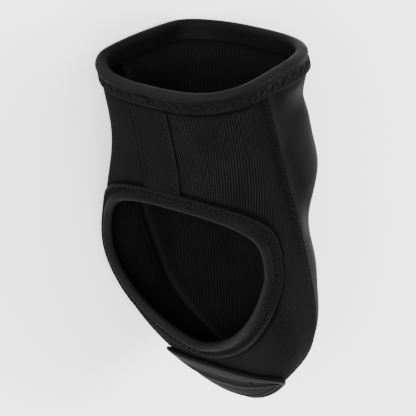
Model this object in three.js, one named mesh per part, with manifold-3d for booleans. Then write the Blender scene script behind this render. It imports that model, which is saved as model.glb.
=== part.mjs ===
// A cycling toe cover for a right shoe: a close-fitting neoprene sock for the front two thirds of a
// road shoe, closed round the toe, open at the collar and cut away under the ball for the cleat.
// Each piece is built in the frame in which the cover is worn, with x towards the toe and 0 at the
// toe tip, y towards the inner side of the foot, and z up from the ground under the ball. The whole
// cover is then laid on its inner side, as it lies when nobody wears it.
// Millimetres throughout.
import * as THREE from "three";
import { mergeVertices } from "three/addons/utils/BufferGeometryUtils.js";
import Module from "manifold-3d";

const wasm = await Module();
wasm.setup();

// Overall sizes, measured over the outside of the cover.
const COVER_LENGTH = 186; // toe tip to collar edge, under the arch
const BALL_WIDTH = 107; // across the ball, the widest place
const COLLAR_HEIGHT = 93; // instep line above the ground, where it runs out at the full length
const TOE_LIFT = 31; // height of the toe tip above the ground
const COLLAR_SCOOP = 16; // the collar edge is this much nearer the toe over the instep

// Cloth. The sole panel is thinner than the upper and stands a little proud of it.
const UPPER_WALL = 2.4;
const SOLE_WALL = 2.0;
const SOLE_PROUD = 0.5;
const SEAM_HEIGHT = 38; // seam of sole panel and upper at the collar, above the ground
const SEAM_GAP = 0.3;

// Folded tape that binds the collar and the cleat opening.
const TAPE = 0.9;
const TAPE_GAP = 0.3; // tape to cloth outside
const LINING_GAP = 0.6; // tape to cloth inside, where it lies looser
const COLLAR_BAND = 9;
const OPENING_BAND = 8.5;

// Cleat opening, measured along the surface of the sole from the toe tip and from the middle line.
const OPENING_FROM_TOE = 41;
const OPENING_FRONT = 56; // front edge to the widest place
const OPENING_REAR = 30; // widest place to the rear edge
const OPENING_WIDTH = 93;
const OPENING_SHIFT = -3; // middle of the opening, towards the inner side
const OPENING_TURN = 9; // how much further inwards its front edge is
const FRONT_SQUARENESS = 1.6;
const REAR_SQUARENESS = 2.9;

// Raised strip that laps the sole panel's middle seam, behind the opening.
const STRIP_WIDTH = 21;
const STRIP_SHIFT = 2.5;
const STRIP_PROUD = 0.6;

// Rubber guard round the toe, seen from the front.
const GUARD_WIDTH = 68;
const GUARD_HEIGHT = 13;
const GUARD_BOTTOM = 9.5; // above the ground
const GUARD_SHIFT = 8;
const GUARD_SQUARENESS = 2.8;
const GUARD_WALL = 1.2;
const GUARD_RIM = 1.8; // width of the raised rim
const GUARD_RIM_PROUD = 0.6;
const GUARD_EASE = 0.5; // width of the rim's slopes
const GUARD_GAP = 0.5;
const GUARD_RIDGES = 1;
const RIDGE_WIDTH = 1.6;
const RIDGE_PROUD = 0.5;

// The cover lies on its inner side, leaning towards the instep, and the cloth settles flat there.
const LEAN = 10; // degrees
const SETTLE = 5;

// How finely the surfaces are divided.
const ROWS = 24;
const TURNS = 48;
const ARC_STEPS = 192;
const OPENING_STEPS = 50;
const COLLAR_STEPS = 48;
const FOLD_STEPS = 3;
const GUARD_STEPS = 40;
const GUARD_BACK_RINGS = 5;
const GUARD_REACH = 0.3; // the guard's share of the cover's length, at most
const HALVINGS = 40;
const SETTLE_PASSES = 8;
const OUTLINE_STEPS = 8; // places tried for each one kept round the opening
const MERGE = 1e-4; // corners this close are one corner

// Steps to either side of a place that give the surface's direction there.
const TURN_STEP = 0.002;
const SHARE_STEP = 0.0004;
const SOLE_STEP = 1;
const NEAREST_TIP = 0.0005; // share of the length

// Reaches in bands of tape: how soon the collar's tape stops holding the cloth off the ground, and
// how far the opening's cutter stands out of the cloth and into the hollow.
const FADE_BANDS = 2.5;
const CUT_OUT_BANDS = 2;
const CUT_IN_BANDS = 1.2;

// Sections from the toe tip to the collar. from_toe is a share of COVER_LENGTH; medial and lateral
// are half widths as shares of BALL_WIDTH; sole is the underside's height as a share of TOE_LIFT;
// top is a share of COLLAR_HEIGHT; wide is the height of the widest place as a share of the
// section's height; edge and crown are the squareness of the sole's edge and of the instep.
const SECTIONS = [
  { from_toe: 0.0, medial: 0.031, lateral: -0.031, sole: 1.0, top: 0.333, wide: 0.5, edge: 2.0, crown: 2.0 },
  { from_toe: 0.01, medial: 0.159, lateral: 0.035, sole: 0.7, top: 0.43, wide: 0.46, edge: 2.3, crown: 2.1 },
  { from_toe: 0.04, medial: 0.283, lateral: 0.11, sole: 0.54, top: 0.49, wide: 0.42, edge: 2.6, crown: 2.2 },
  { from_toe: 0.09, medial: 0.38, lateral: 0.198, sole: 0.42, top: 0.53, wide: 0.38, edge: 2.9, crown: 2.3 },
  { from_toe: 0.16, medial: 0.463, lateral: 0.303, sole: 0.3, top: 0.56, wide: 0.34, edge: 3.2, crown: 2.4 },
  { from_toe: 0.25, medial: 0.519, lateral: 0.385, sole: 0.18, top: 0.59, wide: 0.31, edge: 3.4, crown: 2.5 },
  { from_toe: 0.36, medial: 0.55, lateral: 0.43, sole: 0.07, top: 0.62, wide: 0.3, edge: 3.5, crown: 2.5 },
  { from_toe: 0.49, medial: 0.545, lateral: 0.457, sole: 0.0, top: 0.67, wide: 0.3, edge: 3.5, crown: 2.4 },
  { from_toe: 0.64, medial: 0.473, lateral: 0.457, sole: 0.05, top: 0.8, wide: 0.34, edge: 3.3, crown: 2.5 },
  { from_toe: 0.81, medial: 0.411, lateral: 0.416, sole: 0.25, top: 0.9, wide: 0.4, edge: 3.0, crown: 2.5 },
  { from_toe: 1.0, medial: 0.452, lateral: 0.401, sole: 0.45, top: 1.0, wide: 0.45, edge: 2.8, crown: 2.5 },
];

// Height of the seam between sole panel and upper, as a share of SEAM_HEIGHT.
const SEAM = [
  { from_toe: 0.0, height: 1.0 },
  { from_toe: 0.12, height: 0.95 },
  { from_toe: 0.28, height: 0.86 },
  { from_toe: 0.44, height: 0.82 },
  { from_toe: 0.57, height: 0.79 },
  { from_toe: 0.7, height: 0.83 },
  { from_toe: 0.84, height: 0.95 },
  { from_toe: 1.0, height: 1.0 },
];

// Smooth curve through one column of a table, with its rows placed at keys.
function smooth(keys, values, key) {
  const last = keys.length - 1;
  const above = keys.findIndex((k, i) => i > 0 && key <= k);
  const i = above < 0 ? last : above;
  const slope = (k) => {
    const [a, b] = [Math.max(k - 1, 0), Math.min(k + 1, last)];
    return (values[b] - values[a]) / (keys[b] - keys[a]);
  };
  const step = keys[i] - keys[i - 1];
  const t = (key - keys[i - 1]) / step;
  const [from, to] = [values[i - 1], values[i]];
  const [leave, arrive] = [slope(i - 1) * step, slope(i) * step];
  const bend = 3 * (to - from) - 2 * leave - arrive;
  const twist = 2 * (from - to) + leave + arrive;
  return twist * t ** 3 + bend * t ** 2 + leave * t + from;
}

// The sections are read over the square root of the distance from the toe, which makes it round.
const SECTION_KEYS = SECTIONS.map((row) => Math.sqrt(row.from_toe));

function column(name, share) {
  const values = SECTIONS.map((row) => row[name]);
  return smooth(SECTION_KEYS, values, Math.sqrt(Math.max(share, 0)));
}

function sectionAt(share) {
  const medial = column("medial", share) * BALL_WIDTH;
  const lateral = column("lateral", share) * BALL_WIDTH;
  const low = column("sole", share) * TOE_LIFT;
  const high = column("top", share) * COLLAR_HEIGHT;
  const wide = low + (high - low) * column("wide", share);
  return {
    x: -share * COVER_LENGTH,
    middle: (medial - lateral) / 2,
    halfWidth: (medial + lateral) / 2,
    low, high, wide,
    edge: column("edge", share),
    crown: column("crown", share),
  };
}

const signedPower = (value, power) => Math.sign(value) * Math.abs(value) ** power;

// A place on a section: turn goes from 0 under the sole, round by the inner side, to 1.
function placeOn(section, turn) {
  const angle = 2 * Math.PI * turn;
  const upward = -Math.cos(angle);
  const squareness = upward < 0 ? section.edge : section.crown;
  const reach = upward < 0 ? section.wide - section.low : section.high - section.wide;
  return new THREE.Vector3(
    section.x,
    section.middle + section.halfWidth * signedPower(Math.sin(angle), 2 / squareness),
    section.wide + reach * signedPower(upward, 2 / squareness),
  );
}

// The share of the length at which the collar edge runs, which is less over the instep.
const COLLAR_SECTION = sectionAt(1);

function collarShare(turn) {
  const rise = placeOn(COLLAR_SECTION, turn).z - COLLAR_SECTION.low;
  const height = COLLAR_SECTION.high - COLLAR_SECTION.low;
  return 1 - (COLLAR_SCOOP / COVER_LENGTH) * (rise / height) ** 2;
}

// How far the tape's face is out of the last.
const TAPE_PROUD = SOLE_PROUD + TAPE_GAP + TAPE;

// The side on which the cover lies, leaning towards the instep.
const LEAN_ANGLE = THREE.MathUtils.degToRad(LEAN);
const INNER_SIDE = new THREE.Vector3(0, Math.cos(LEAN_ANGLE), Math.sin(LEAN_ANGLE));

// The bare last, before the cloth settles: a place by its turn round the section and its share.
const lastPlace = (turn, share) => placeOn(sectionAt(share), turn);

// A row of the last is a line round it at one share of the way from the toe to the collar edge.
function lastRow(part) {
  return Array.from({ length: TURNS }, (unused, i) => {
    const turn = i / TURNS;
    return lastPlace(turn, part ** 2 * collarShare(turn));
  });
}

const SEAM_KEYS = SEAM.map((row) => row.from_toe);

function seamHeight(share) {
  return smooth(SEAM_KEYS, SEAM.map((row) => row.height * SEAM_HEIGHT), share);
}

// What touches the ground stands this far out of the last: the tape at the collar, else the cloth.
function standOut(proud, fromCollar) {
  const fade = THREE.MathUtils.smoothstep(fromCollar, COLLAR_BAND, FADE_BANDS * COLLAR_BAND);
  return THREE.MathUtils.lerp(TAPE_PROUD, proud, fade);
}

// The plane on which the cover lies, which touches it behind and ahead of its middle.
function restingPlane() {
  const points = [];
  for (let row = 1; row <= ROWS; row++) {
    const share = (row / ROWS) ** 2;
    lastRow(row / ROWS).forEach((place) => {
      const proud = place.z < seamHeight(share) ? SOLE_PROUD : 0;
      points.push(place.addScaledVector(INNER_SIDE, standOut(proud, (1 - share) * COVER_LENGTH)));
    });
  }
  const down = INNER_SIDE.clone();
  const farthest = (place, other) => (other.dot(down) > place.dot(down) ? other : place);
  for (let pass = 0; pass < SETTLE_PASSES; pass++) {
    const ahead = points.filter((place) => place.x > -COVER_LENGTH / 2).reduce(farthest);
    const behind = points.filter((place) => place.x <= -COVER_LENGTH / 2).reduce(farthest);
    const line = ahead.clone().sub(behind);
    down.copy(INNER_SIDE);
    down.x = -INNER_SIDE.dot(line) / line.x;
  }
  down.normalize();
  return { down, depth: points.reduce(farthest).dot(down) - SETTLE };
}

const GROUND = restingPlane();

// Cloth that would lie below the ground is pressed back to it, with what is worn on it.
function settled(place, proud, fromCollar) {
  const below = place.dot(GROUND.down) + standOut(proud, fromCollar) - GROUND.depth;
  return below > 0 ? place.addScaledVector(GROUND.down, -below) : place;
}

// The outward direction of a surface at a place, from its neighbours on either side.
function outwardAt(surface, u, v, du, dv) {
  const along = surface(u, v + dv).sub(surface(u, v - dv));
  const across = surface(u + du, v).sub(surface(u - du, v));
  return across.cross(along).normalize();
}

// A place at a height above the last, by turn and share, on cloth that is this proud of it.
function onCloth(turn, share, height, proud) {
  const surface = (u, v) => settled(lastPlace(u, v), proud, (collarShare(u) - v) * COVER_LENGTH);
  const near = Math.max(share, NEAREST_TIP);
  const outward = outwardAt(surface, turn, near, TURN_STEP, -SHARE_STEP);
  return surface(turn, share).addScaledVector(outward, height);
}

// The sole is also measured in millimetres: x from the toe tip, and across from the middle line
// along the surface, which is positive on the inner side.
function soleSurface(x, across) {
  const section = sectionAt(-x / COVER_LENGTH);
  const side = Math.sign(across) || 1;
  let [walked, before] = [0, placeOn(section, 0)];
  for (let i = 1; i <= ARC_STEPS; i++) {
    const place = placeOn(section, (side * i) / (2 * ARC_STEPS));
    const stride = place.distanceTo(before);
    if (walked + stride >= Math.abs(across)) {
      before.lerp(place, (Math.abs(across) - walked) / stride);
      break;
    }
    walked += stride;
    before = place;
  }
  return settled(before, SOLE_PROUD, COVER_LENGTH + x);
}

function onSole(x, across, height) {
  const outward = outwardAt(soleSurface, x, across, SOLE_STEP, -SOLE_STEP);
  return soleSurface(x, across).addScaledVector(outward, height);
}

// A closed solid through rings of points. Each ring joins the next. With no ends the last joins the
// first; otherwise each end closes to one point, or is folded shut along its length.
function loft(rings, ends) {
  const [count, size] = [rings.length, rings[0].length];
  const points = rings.flat();
  const faces = [];
  const index = (ring, i) => (ring % count) * size + (i % size);
  for (let ring = 0; ring < (ends ? count - 1 : count); ring++) {
    for (let i = 0; i < size; i++) {
      const [a, b] = [index(ring, i), index(ring, i + 1)];
      const [c, d] = [index(ring + 1, i + 1), index(ring + 1, i)];
      addQuad(faces, a, b, c, d);
    }
  }
  if (ends === "folded") {
    const end = count - 1;
    for (let i = 0; i < size / 2; i++) {
      const [near, far] = [size - i, size - i - 1];
      addQuad(faces, index(0, i), index(0, near), index(0, far), index(0, i + 1));
      addQuad(faces, index(end, near), index(end, i), index(end, i + 1), index(end, far));
    }
  } else if (ends) {
    const [first, last] = [points.length, points.length + 1];
    points.push(...ends);
    for (let i = 0; i < size; i++) {
      faces.push([first, index(0, i + 1), index(0, i)]);
      faces.push([last, index(count - 1, i), index(count - 1, i + 1)]);
    }
  }
  return solidFrom(points, faces);
}

// Two triangles, or one where two of the corners are the same.
function addQuad(faces, a, b, c, d) {
  if (a !== b && b !== c) faces.push([a, b, c]);
  if (c !== d && d !== a) faces.push([a, c, d]);
}

function solidFrom(points, faces) {
  let volume = 0;
  for (const [a, b, c] of faces) {
    volume += points[a].dot(points[b].clone().cross(points[c]));
  }
  const triangles = volume < 0 ? faces.map(([a, b, c]) => [a, c, b]) : faces;
  return new wasm.Manifold(new wasm.Mesh({
    numProp: 3,
    vertProperties: new Float32Array(points.flatMap((p) => [p.x, p.y, p.z])),
    triVerts: new Uint32Array(triangles.flat()),
  }));
}

// A solid from a closed geometry of three.js.
function solidFromGeometry(geometry) {
  geometry.deleteAttribute("normal");
  geometry.deleteAttribute("uv");
  const merged = mergeVertices(geometry, MERGE);
  const place = merged.attributes.position;
  const points = Array.from({ length: place.count }, (unused, i) => (
    new THREE.Vector3().fromBufferAttribute(place, i)
  ));
  const corners = Array.from(merged.index.array);
  const faces = [];
  for (let i = 0; i < corners.length; i += 3) faces.push(corners.slice(i, i + 3));
  return solidFrom(points, faces);
}

// A hollow sock between two heights above the last, open at the collar, where its edge lies inside
// the tape. It settles as cloth that is this proud. Rows lie closer together towards the toe, and
// the last one but one is just under the collar's tape.
function sock(outer, inner, proud) {
  const band = (COLLAR_BAND - 2 * TAPE) / COVER_LENGTH;
  const trim = EDGE_IN_FOLD / COVER_LENGTH;
  const ring = (row, height) => Array.from({ length: TURNS }, (unused, i) => {
    const turn = i / TURNS;
    const end = collarShare(turn);
    const share = row < ROWS ? (row / (ROWS - 1)) ** 2 * (end - band) : end - trim;
    return onCloth(turn, share, height, proud);
  });
  const outside = Array.from({ length: ROWS }, (unused, i) => ring(i + 1, outer));
  const inside = Array.from({ length: ROWS }, (unused, i) => ring(ROWS - i, inner));
  const tip = lastPlace(0, 0);
  const ends = [outer, inner].map((height) => tip.clone().add(new THREE.Vector3(height, 0, 0)));
  return loft([...outside, ...inside], ends);
}

// Everything below the seam line, raised by shift, as a block that spans the cover's width.
function belowSeam(shift) {
  const outline = new THREE.Shape();
  const steps = 2 * ROWS;
  outline.moveTo(COVER_LENGTH, -COLLAR_HEIGHT);
  outline.lineTo(COVER_LENGTH, seamHeight(0) + shift);
  for (let i = 0; i <= steps; i++) {
    const share = i / steps;
    outline.lineTo(-share * COVER_LENGTH, seamHeight(share) + shift);
  }
  outline.lineTo(-2 * COVER_LENGTH, seamHeight(1) + shift);
  outline.lineTo(-2 * COVER_LENGTH, -COLLAR_HEIGHT);
  const block = new THREE.ExtrudeGeometry(outline, { depth: 4 * BALL_WIDTH, bevelEnabled: false });
  block.translate(0, 0, -2 * BALL_WIDTH);
  block.rotateX(Math.PI / 2);
  return solidFromGeometry(block);
}

// The outline of the cleat opening, evenly divided, as places and outward directions on the sole.
function openingOutline() {
  const widest = -(OPENING_FROM_TOE + OPENING_FRONT);
  const tries = OUTLINE_STEPS * OPENING_STEPS;
  const fine = Array.from({ length: tries }, (unused, i) => {
    const angle = (2 * Math.PI * i) / tries;
    const forward = Math.cos(angle) > 0;
    const power = 2 / (forward ? FRONT_SQUARENESS : REAR_SQUARENESS);
    const reach = forward ? OPENING_FRONT : OPENING_REAR;
    const ahead = reach * signedPower(Math.cos(angle), power);
    const turn = (OPENING_TURN * Math.max(ahead, 0)) / OPENING_FRONT;
    const side = (OPENING_WIDTH / 2) * signedPower(Math.sin(angle), power);
    return new THREE.Vector2(widest + ahead, OPENING_SHIFT + turn + side);
  });
  const lengths = [0];
  fine.forEach((place, i) => {
    lengths.push(lengths[i] + place.distanceTo(fine[(i + 1) % tries]));
  });
  const around = lengths[tries];
  const even = Array.from({ length: OPENING_STEPS }, (unused, i) => {
    const goal = (around * i) / OPENING_STEPS;
    const k = lengths.findIndex((length) => length > goal) - 1;
    const part = (goal - lengths[k]) / (lengths[k + 1] - lengths[k]);
    return fine[k].clone().lerp(fine[(k + 1) % tries], part);
  });
  return even.map((place, i) => {
    const before = even[(i + OPENING_STEPS - 1) % OPENING_STEPS];
    const after = even[(i + 1) % OPENING_STEPS];
    const along = after.clone().sub(before).normalize();
    return { place, outward: new THREE.Vector2(along.y, -along.x) };
  });
}

// A place at a distance outside the opening's edge and a height above the cloth.
function besideOpening({ place, outward }, distance, height) {
  const there = place.clone().addScaledVector(outward, distance);
  return onSole(there.x, there.y, height);
}

// The tape folded round an edge of cloth, as distances from the fold and heights above the cloth.
// Tape that is thicker than TAPE reaches nearer to the cloth.
function foldedTape(proud, wall, band, tape) {
  const outerTop = proud + TAPE_GAP + TAPE;
  const innerTop = proud - wall - LINING_GAP - TAPE;
  const middle = (outerTop + innerTop) / 2;
  const radius = (outerTop - innerTop) / 2;
  const arc = (r, from, to) => Array.from({ length: FOLD_STEPS + 1 }, (unused, i) => {
    const angle = THREE.MathUtils.lerp(from, to, i / FOLD_STEPS);
    return [radius - r * Math.cos(angle), middle + r * Math.sin(angle)];
  });
  return [
    [band, outerTop - tape],
    [band - TAPE / 2, outerTop],
    ...arc(radius, Math.PI / 2, -Math.PI / 2),
    [band - TAPE / 2, innerTop],
    [band, innerTop + tape],
    ...arc(radius - tape, -Math.PI / 2, Math.PI / 2),
  ];
}

// The cloth's edge lies this far inside the fold of its tape.
const EDGE_IN_FOLD = (TAPE_PROUD - SOLE_PROUD + UPPER_WALL + LINING_GAP + TAPE) / 2;

function openingCutter() {
  const outline = openingOutline();
  const [outside, inside] = [OPENING_BAND * CUT_OUT_BANDS, -OPENING_BAND * CUT_IN_BANDS];
  const ring = (height) => outline.map((spot) => besideOpening(spot, EDGE_IN_FOLD, height));
  const centre = (height) => onSole(-(OPENING_FROM_TOE + OPENING_FRONT), 0, height);
  return loft([ring(outside), ring(0), ring(inside)], [centre(outside), centre(inside)]);
}

function openingBinding(tape) {
  const fold = foldedTape(SOLE_PROUD, SOLE_WALL, OPENING_BAND, tape);
  const rings = openingOutline().map((spot) => (
    fold.map(([distance, height]) => besideOpening(spot, distance, height))
  ));
  return loft(rings);
}

function collarBinding() {
  const fold = foldedTape(SOLE_PROUD, UPPER_WALL + SOLE_PROUD, COLLAR_BAND, TAPE);
  const rings = Array.from({ length: COLLAR_STEPS }, (unused, i) => {
    const turn = i / COLLAR_STEPS;
    return fold.map(([distance, height]) => (
      onCloth(turn, collarShare(turn) - distance / COVER_LENGTH, height, SOLE_PROUD)
    ));
  });
  return loft(rings);
}

function upper() {
  const whole = sock(0, -UPPER_WALL, 0);
  return whole.subtract(belowSeam(SEAM_GAP / 2));
}

// The raised strip starts inside the sole panel's cloth, so that the two are one solid.
function lapStrip() {
  const front = -(OPENING_FROM_TOE + OPENING_FRONT + OPENING_REAR + OPENING_BAND + TAPE_GAP);
  const back = -(COVER_LENGTH - COLLAR_BAND - TAPE_GAP);
  const steps = ROWS / 2;
  const half = STRIP_WIDTH / 2;
  const corners = [[half, STRIP_PROUD], [0, STRIP_PROUD], [-half, STRIP_PROUD], [-half, -SOLE_WALL / 2],
    [0, -SOLE_WALL / 2], [half, -SOLE_WALL / 2]];
  const rings = Array.from({ length: steps + 1 }, (unused, i) => {
    const x = THREE.MathUtils.lerp(front, back, i / steps);
    return corners.map(([side, height]) => onSole(x, STRIP_SHIFT + side, SOLE_PROUD + height));
  });
  const ends = [front, back].map((x) => onSole(x, STRIP_SHIFT, SOLE_PROUD - SOLE_WALL / 4));
  return loft(rings, ends);
}

function solePanel() {
  const whole = sock(SOLE_PROUD, SOLE_PROUD - SOLE_WALL, SOLE_PROUD);
  const panel = whole.intersect(belowSeam(-SEAM_GAP / 2));
  const room = openingBinding(TAPE + TAPE_GAP / 2);
  return panel.subtract(openingCutter()).subtract(room).add(lapStrip());
}

// Where a line along x at a side and height meets the toe, as a turn and share of the last.
function frontOfLast(side, height) {
  const parts = (share) => {
    const section = sectionAt(share);
    const squareness = height < section.wide ? section.edge : section.crown;
    const reach = height < section.wide ? section.wide - section.low : section.high - section.wide;
    const across = signedPower((side - section.middle) / section.halfWidth, squareness / 2);
    const upward = signedPower((height - section.wide) / reach, squareness / 2);
    return { across, upward };
  };
  let [near, far] = [0, GUARD_REACH];
  for (let halving = 0; halving < HALVINGS; halving++) {
    const share = (near + far) / 2;
    const { across, upward } = parts(share);
    if (Math.hypot(across, upward) > 1) near = share;
    else far = share;
  }
  const { across, upward } = parts(far);
  return { turn: Math.atan2(across, -upward) / (2 * Math.PI), share: far };
}

// A ring of the guard, seen from the front: its outline drawn in by inset, at a height on the cloth.
function guardRing(inset, height) {
  const middle = GUARD_BOTTOM + GUARD_HEIGHT / 2;
  return Array.from({ length: GUARD_STEPS }, (unused, i) => {
    const angle = (2 * Math.PI * i) / GUARD_STEPS;
    const side = signedPower(Math.cos(angle), 2 / GUARD_SQUARENESS) * (GUARD_WIDTH / 2 - inset);
    const rise = signedPower(Math.sin(angle), 2 / GUARD_SQUARENESS) * (GUARD_HEIGHT / 2 - inset);
    const { turn, share } = frontOfLast(GUARD_SHIFT + side, middle + rise);
    return onCloth(turn, share, height, SOLE_PROUD);
  });
}

function toeGuard() {
  const under = SOLE_PROUD + GUARD_GAP;
  const top = under + GUARD_WALL;
  const inmost = GUARD_HEIGHT / 2 - RIDGE_WIDTH / 4;
  const back = Array.from({ length: GUARD_BACK_RINGS }, (unused, i) => (
    guardRing(inmost * (1 - i / (GUARD_BACK_RINGS - 1)), under)
  ));
  const rim = [
    guardRing(0, top),
    guardRing(GUARD_EASE, top + GUARD_RIM_PROUD),
    guardRing(GUARD_RIM, top + GUARD_RIM_PROUD),
    guardRing(GUARD_RIM + GUARD_EASE, top),
  ];
  const ridges = [];
  for (let i = 0; i < GUARD_RIDGES; i++) {
    const foot = THREE.MathUtils.lerp(GUARD_RIM, GUARD_HEIGHT / 2, (i + 1) / (GUARD_RIDGES + 1));
    ridges.push(
      guardRing(foot - RIDGE_WIDTH / 2, top),
      guardRing(foot - RIDGE_WIDTH / 4, top + RIDGE_PROUD),
      guardRing(foot + RIDGE_WIDTH / 4, top + RIDGE_PROUD),
      guardRing(foot + RIDGE_WIDTH / 2, top),
    );
  }
  return loft([...back, ...rim, ...ridges, guardRing(inmost, top)], "folded");
}

function geometryOf(solid) {
  const mesh = solid.getMesh();
  const geometry = new THREE.BufferGeometry();
  geometry.setAttribute("position", new THREE.BufferAttribute(mesh.vertProperties, 3));
  geometry.setIndex(new THREE.BufferAttribute(mesh.triVerts, 1));
  geometry.computeVertexNormals();
  return geometry;
}

const NEOPRENE = new THREE.MeshStandardMaterial({ color: 0x1d1e20, roughness: 0.8, metalness: 0 });
const RIB_KNIT = new THREE.MeshStandardMaterial({ color: 0x1b1b1d, roughness: 0.9, metalness: 0 });
const TAPE_CLOTH = new THREE.MeshStandardMaterial({ color: 0x1f1f21, roughness: 0.75, metalness: 0 });
const RUBBER = new THREE.MeshStandardMaterial({ color: 0x3a3b3d, roughness: 0.6, metalness: 0 });

function piece(name, solid, material) {
  const mesh = new THREE.Mesh(geometryOf(solid), material);
  mesh.name = name;
  return mesh;
}

const worn = new THREE.Group();
worn.add(piece("sole_panel", solePanel(), RIB_KNIT));
worn.add(piece("upper", upper(), NEOPRENE));
worn.add(piece("collar_binding", collarBinding(), TAPE_CLOTH));
worn.add(piece("opening_binding", openingBinding(TAPE), TAPE_CLOTH));
worn.add(piece("toe_guard", toeGuard(), RUBBER));

// Lay the cover on its resting plane with the toe along +X, and its lowest face at height 0 with the
// middle of its box above the origin.
function layDown(group) {
  const up = GROUND.down.clone().negate();
  const toe = new THREE.Vector3(1, 0, 0).projectOnPlane(up).normalize();
  const side = up.clone().cross(toe);
  group.quaternion.setFromRotationMatrix(new THREE.Matrix4().makeBasis(toe, side, up).transpose());
  group.updateMatrixWorld(true);
  const box = new THREE.Box3().setFromObject(group, true);
  const middle = box.getCenter(new THREE.Vector3());
  group.position.set(-middle.x, -middle.y, -box.min.z);
  group.updateMatrixWorld(true);
  return group;
}

const cover = new THREE.Group();
cover.add(layDown(worn));

export default cover;
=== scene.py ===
# %% [markdown]
# Dressing a cycling toe cover
#
# A toe cover is a close-fitting neoprene sock for the front of a road shoe. It comes to this script
# as plain solids at their real size. The solids say where everything is; this script gives the
# cover its fine surfaces, stitches and finishes, around the same named sizes.

# %% Load the fixed frame
import math

import bpy
import numpy as np
from mathutils import Matrix, Vector


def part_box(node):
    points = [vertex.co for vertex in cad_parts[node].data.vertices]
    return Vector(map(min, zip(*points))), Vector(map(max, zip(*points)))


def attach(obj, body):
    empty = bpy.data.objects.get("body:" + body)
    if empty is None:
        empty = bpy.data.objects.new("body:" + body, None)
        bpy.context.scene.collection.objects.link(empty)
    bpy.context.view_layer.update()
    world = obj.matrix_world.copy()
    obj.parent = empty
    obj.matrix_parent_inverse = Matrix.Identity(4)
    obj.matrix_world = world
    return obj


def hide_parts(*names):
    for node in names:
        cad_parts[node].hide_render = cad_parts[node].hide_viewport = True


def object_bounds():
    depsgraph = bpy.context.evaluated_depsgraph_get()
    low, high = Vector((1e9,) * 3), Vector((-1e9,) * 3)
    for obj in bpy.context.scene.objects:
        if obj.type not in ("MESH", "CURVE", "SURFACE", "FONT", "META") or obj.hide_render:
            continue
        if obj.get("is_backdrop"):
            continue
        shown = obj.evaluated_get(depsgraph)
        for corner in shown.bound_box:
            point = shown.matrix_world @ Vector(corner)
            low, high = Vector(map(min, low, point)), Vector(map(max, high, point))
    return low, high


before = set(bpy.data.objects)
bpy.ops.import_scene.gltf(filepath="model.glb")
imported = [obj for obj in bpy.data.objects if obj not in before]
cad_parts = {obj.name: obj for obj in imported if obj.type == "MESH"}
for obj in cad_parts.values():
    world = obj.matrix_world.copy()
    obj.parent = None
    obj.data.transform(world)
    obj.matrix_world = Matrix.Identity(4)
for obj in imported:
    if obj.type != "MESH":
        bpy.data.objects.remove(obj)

CAD_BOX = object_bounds()
MM = 0.001  # Blender works in metres, and every size below is in millimetres
print("solids in the frame:", ", ".join(sorted(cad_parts)))

# %% [markdown]
# The cover's own sizes
#
# A shoemaker works from a last: the solid form of the shoe. The cover's sizes are those of its last
# and of the cloth, tape and rubber worn on it. The same named sizes made the solids, so a surface
# worked out from them here lies where its solid lies.

# %% Sizes of the cover
COVER_LENGTH = 186
BALL_WIDTH = 107
COLLAR_HEIGHT = 93
TOE_LIFT = 31
COLLAR_SCOOP = 16

UPPER_WALL = 2.4
SOLE_WALL = 2.0
SOLE_PROUD = 0.5
SEAM_HEIGHT = 38

TAPE = 0.9
TAPE_GAP = 0.3
LINING_GAP = 0.6
COLLAR_BAND = 9
OPENING_BAND = 8.5

OPENING_FROM_TOE = 41
OPENING_FRONT = 56
OPENING_REAR = 30
OPENING_WIDTH = 93
OPENING_SHIFT = -3
OPENING_TURN = 9
FRONT_SQUARENESS = 1.6
REAR_SQUARENESS = 2.9

STRIP_WIDTH = 21
STRIP_SHIFT = 2.5
STRIP_PROUD = 0.6

GUARD_WIDTH = 68
GUARD_HEIGHT = 13
GUARD_BOTTOM = 9.5
GUARD_SHIFT = 8
GUARD_SQUARENESS = 2.8
GUARD_WALL = 1.2
GUARD_RIM = 1.8
GUARD_RIM_PROUD = 0.6
GUARD_EASE = 0.5
GUARD_GAP = 0.5
GUARD_RIDGES = 1
RIDGE_WIDTH = 1.6
RIDGE_PROUD = 0.5

LEAN = 10  # degrees by which the cover, lying on its inner side, leans towards the instep
SETTLE = 5

TAPE_PROUD = SOLE_PROUD + TAPE_GAP + TAPE
EDGE_IN_FOLD = (TAPE_PROUD - SOLE_PROUD + UPPER_WALL + LINING_GAP + TAPE) / 2
print("cover", COVER_LENGTH, "mm long and", BALL_WIDTH, "mm wide at the ball")
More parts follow.
